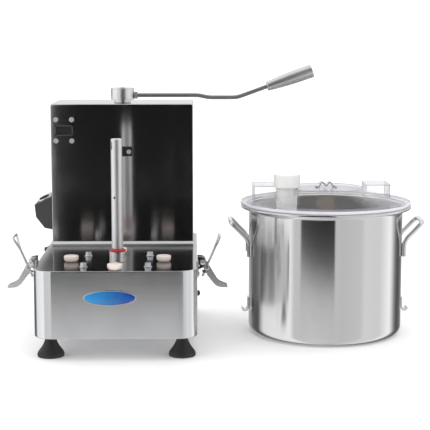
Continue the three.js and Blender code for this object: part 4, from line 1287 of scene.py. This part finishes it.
# ---------------------------------------------------------------- inner pieces that keep their CAD shapes
INNER_FINISHES = {
    "base_bottom_plate": "sheet",
    "spindle_bearing_housing": "cast",
    "spindle_pulley": "cast",
    "motor_shaft_pulley": "cast",
    "motor_body": "paint",
    "motor_plate": "satin",
    "drive_belt": "rubber",
    "run_capacitor": "black",
}
for node, finish in INNER_FINISHES.items():
    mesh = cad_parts[node].data
    mesh.materials.clear()
    mesh.materials.append(FINISHES[finish][1])


# ---------------------------------------------------------------- stage: floor, lights and camera
def in_scene(name, data, place):
    made = bpy.data.objects.new(name, data)
    bpy.context.scene.collection.objects.link(made)
    made.location = place
    return made


def stage_plane(name, size_x, size_y, place, colour, roughness, tilt=0.0):
    mesh = bpy.data.meshes.new(name)
    x, y = size_x / 2, size_y / 2
    mesh.from_pydata([(-x, -y, 0), (x, -y, 0), (x, y, 0), (-x, y, 0)], [], [(0, 1, 2, 3)])
    matt = {"Base Color": colour, "Roughness": roughness, "Specular IOR Level": 0.1}
    mesh.materials.append(new_look(name).shade(matt))
    made = in_scene(name, mesh, place)
    made.rotation_euler.x = tilt
    return made


floor = stage_plane("floor", 14, 14, (0, 3, 0), (0.93, 0.93, 0.935), 0.8)
floor.visible_glossy = False

# A dark card that only reflections see, as a photographer's flag stands before polished steel.
CARD_Y = -0.72
CARD_LEFT, CARD_RIGHT = -0.40, 0.29
CARD_HIGH = 2.0
card_place = ((CARD_LEFT + CARD_RIGHT) / 2, CARD_Y, CARD_HIGH / 2)
card_size = (CARD_RIGHT - CARD_LEFT, CARD_HIGH)
card = stage_plane("dark_card", *card_size, card_place, (0.006, 0.006, 0.006), 0.9, TAU / 4)
card.visible_camera = card.visible_diffuse = card.visible_shadow = card.visible_transmission = False

# What polished faces see round the studio: degrees from the front towards the right, and brightness.
STUDIO = {
    -180: 0.55, -160: 0.45, -140: 0.12, -124: 0.10,  # dark behind on the left
    -110: 1.00, -58: 1.15,  # the soft box on the left
    -52: 0.72, -26: 0.78, 0: 0.75, 20: 0.68, 50: 0.74,  # the grey front of the room
    56: 0.88, 84: 0.85, 108: 1.25,  # the soft box on the right
    122: 0.30, 130: 0.10, 142: 0.12, 160: 0.45, 180: 0.55,  # dark behind on the right
}


def studio_world():
    """What the object reflects in the studio, and plain white light for everything else."""
    look = Look(bpy.data.worlds.new("studio"))
    x, y, z = look.split(look.coordinate("Generated"))
    angle = look.math("ARCTAN2", x, look.math("MULTIPLY", y, -1.0))
    ramp = look.nodes.new("ShaderNodeValToRGB")
    look.feed(ramp.inputs["Fac"], look.ranged(angle, 0.0, 1.0, -TAU / 2, TAU / 2))
    stops = ramp.color_ramp.elements
    while len(stops) < len(STUDIO):
        stops.new(0.5)
    for stop, (degrees, level) in zip(stops, STUDIO.items()):
        stop.position = (degrees + 180) / 360
        stop.color = (level, level, level * 1.01, 1)
    behind = look.math("MULTIPLY", look.ranged(y, 0.0, 1.0, 0.1, 0.5), look.ranged(z, 0.0, 1.0, 0.0, 0.06))
    above = look.math("MAXIMUM", behind, look.ranged(z, 0.0, 1.0, 0.45, 0.8))
    seen = look.mixed(above, ramp.outputs["Color"], (0.95, 0.955, 0.96))
    look.shade({"Color": (1, 1, 1), "Strength": 1.4}, "Background")
    plain = look.nodes["Background"].outputs["Background"]
    reflected = look.add("Background", {"Color": seen}, "Background")
    glossy = look.add("LightPath", {}, "Is Glossy Ray")
    mix = look.add("MixShader", {0: glossy, 1: plain, 2: reflected}, "Shader")
    look.shade({"Surface": mix}, "World Output")
    look.owner.cycles.sampling_method = "NONE"  # otherwise the plain white leaks into what steel reflects
    return look.owner


bpy.context.scene.world = studio_world()

lamp = bpy.data.lights.new("overhead", "AREA")
lamp.shape = "RECTANGLE"
lamp.size, lamp.size_y = 2.2, 1.8
lamp.energy = 6
LAMP_PLACE, LAMP_TARGET = Vector((-0.3, -0.3, 2.4)), Vector((0, 0, 0.1))
overhead = in_scene("overhead", lamp, LAMP_PLACE)
overhead.visible_glossy = False
overhead.rotation_euler = (LAMP_TARGET - LAMP_PLACE).to_track_quat("-Z", "Y").to_euler()

lens = bpy.data.cameras.new("camera")
lens.lens = 107.3
lens.sensor_width = 36
camera = in_scene("camera", lens, (-0.046, -2.308, 0.547))
camera.rotation_euler = (math.radians(90 - 8.115), 0, math.radians(-0.91))
bpy.context.scene.camera = camera
bpy.context.scene.view_settings.view_transform = "Standard"
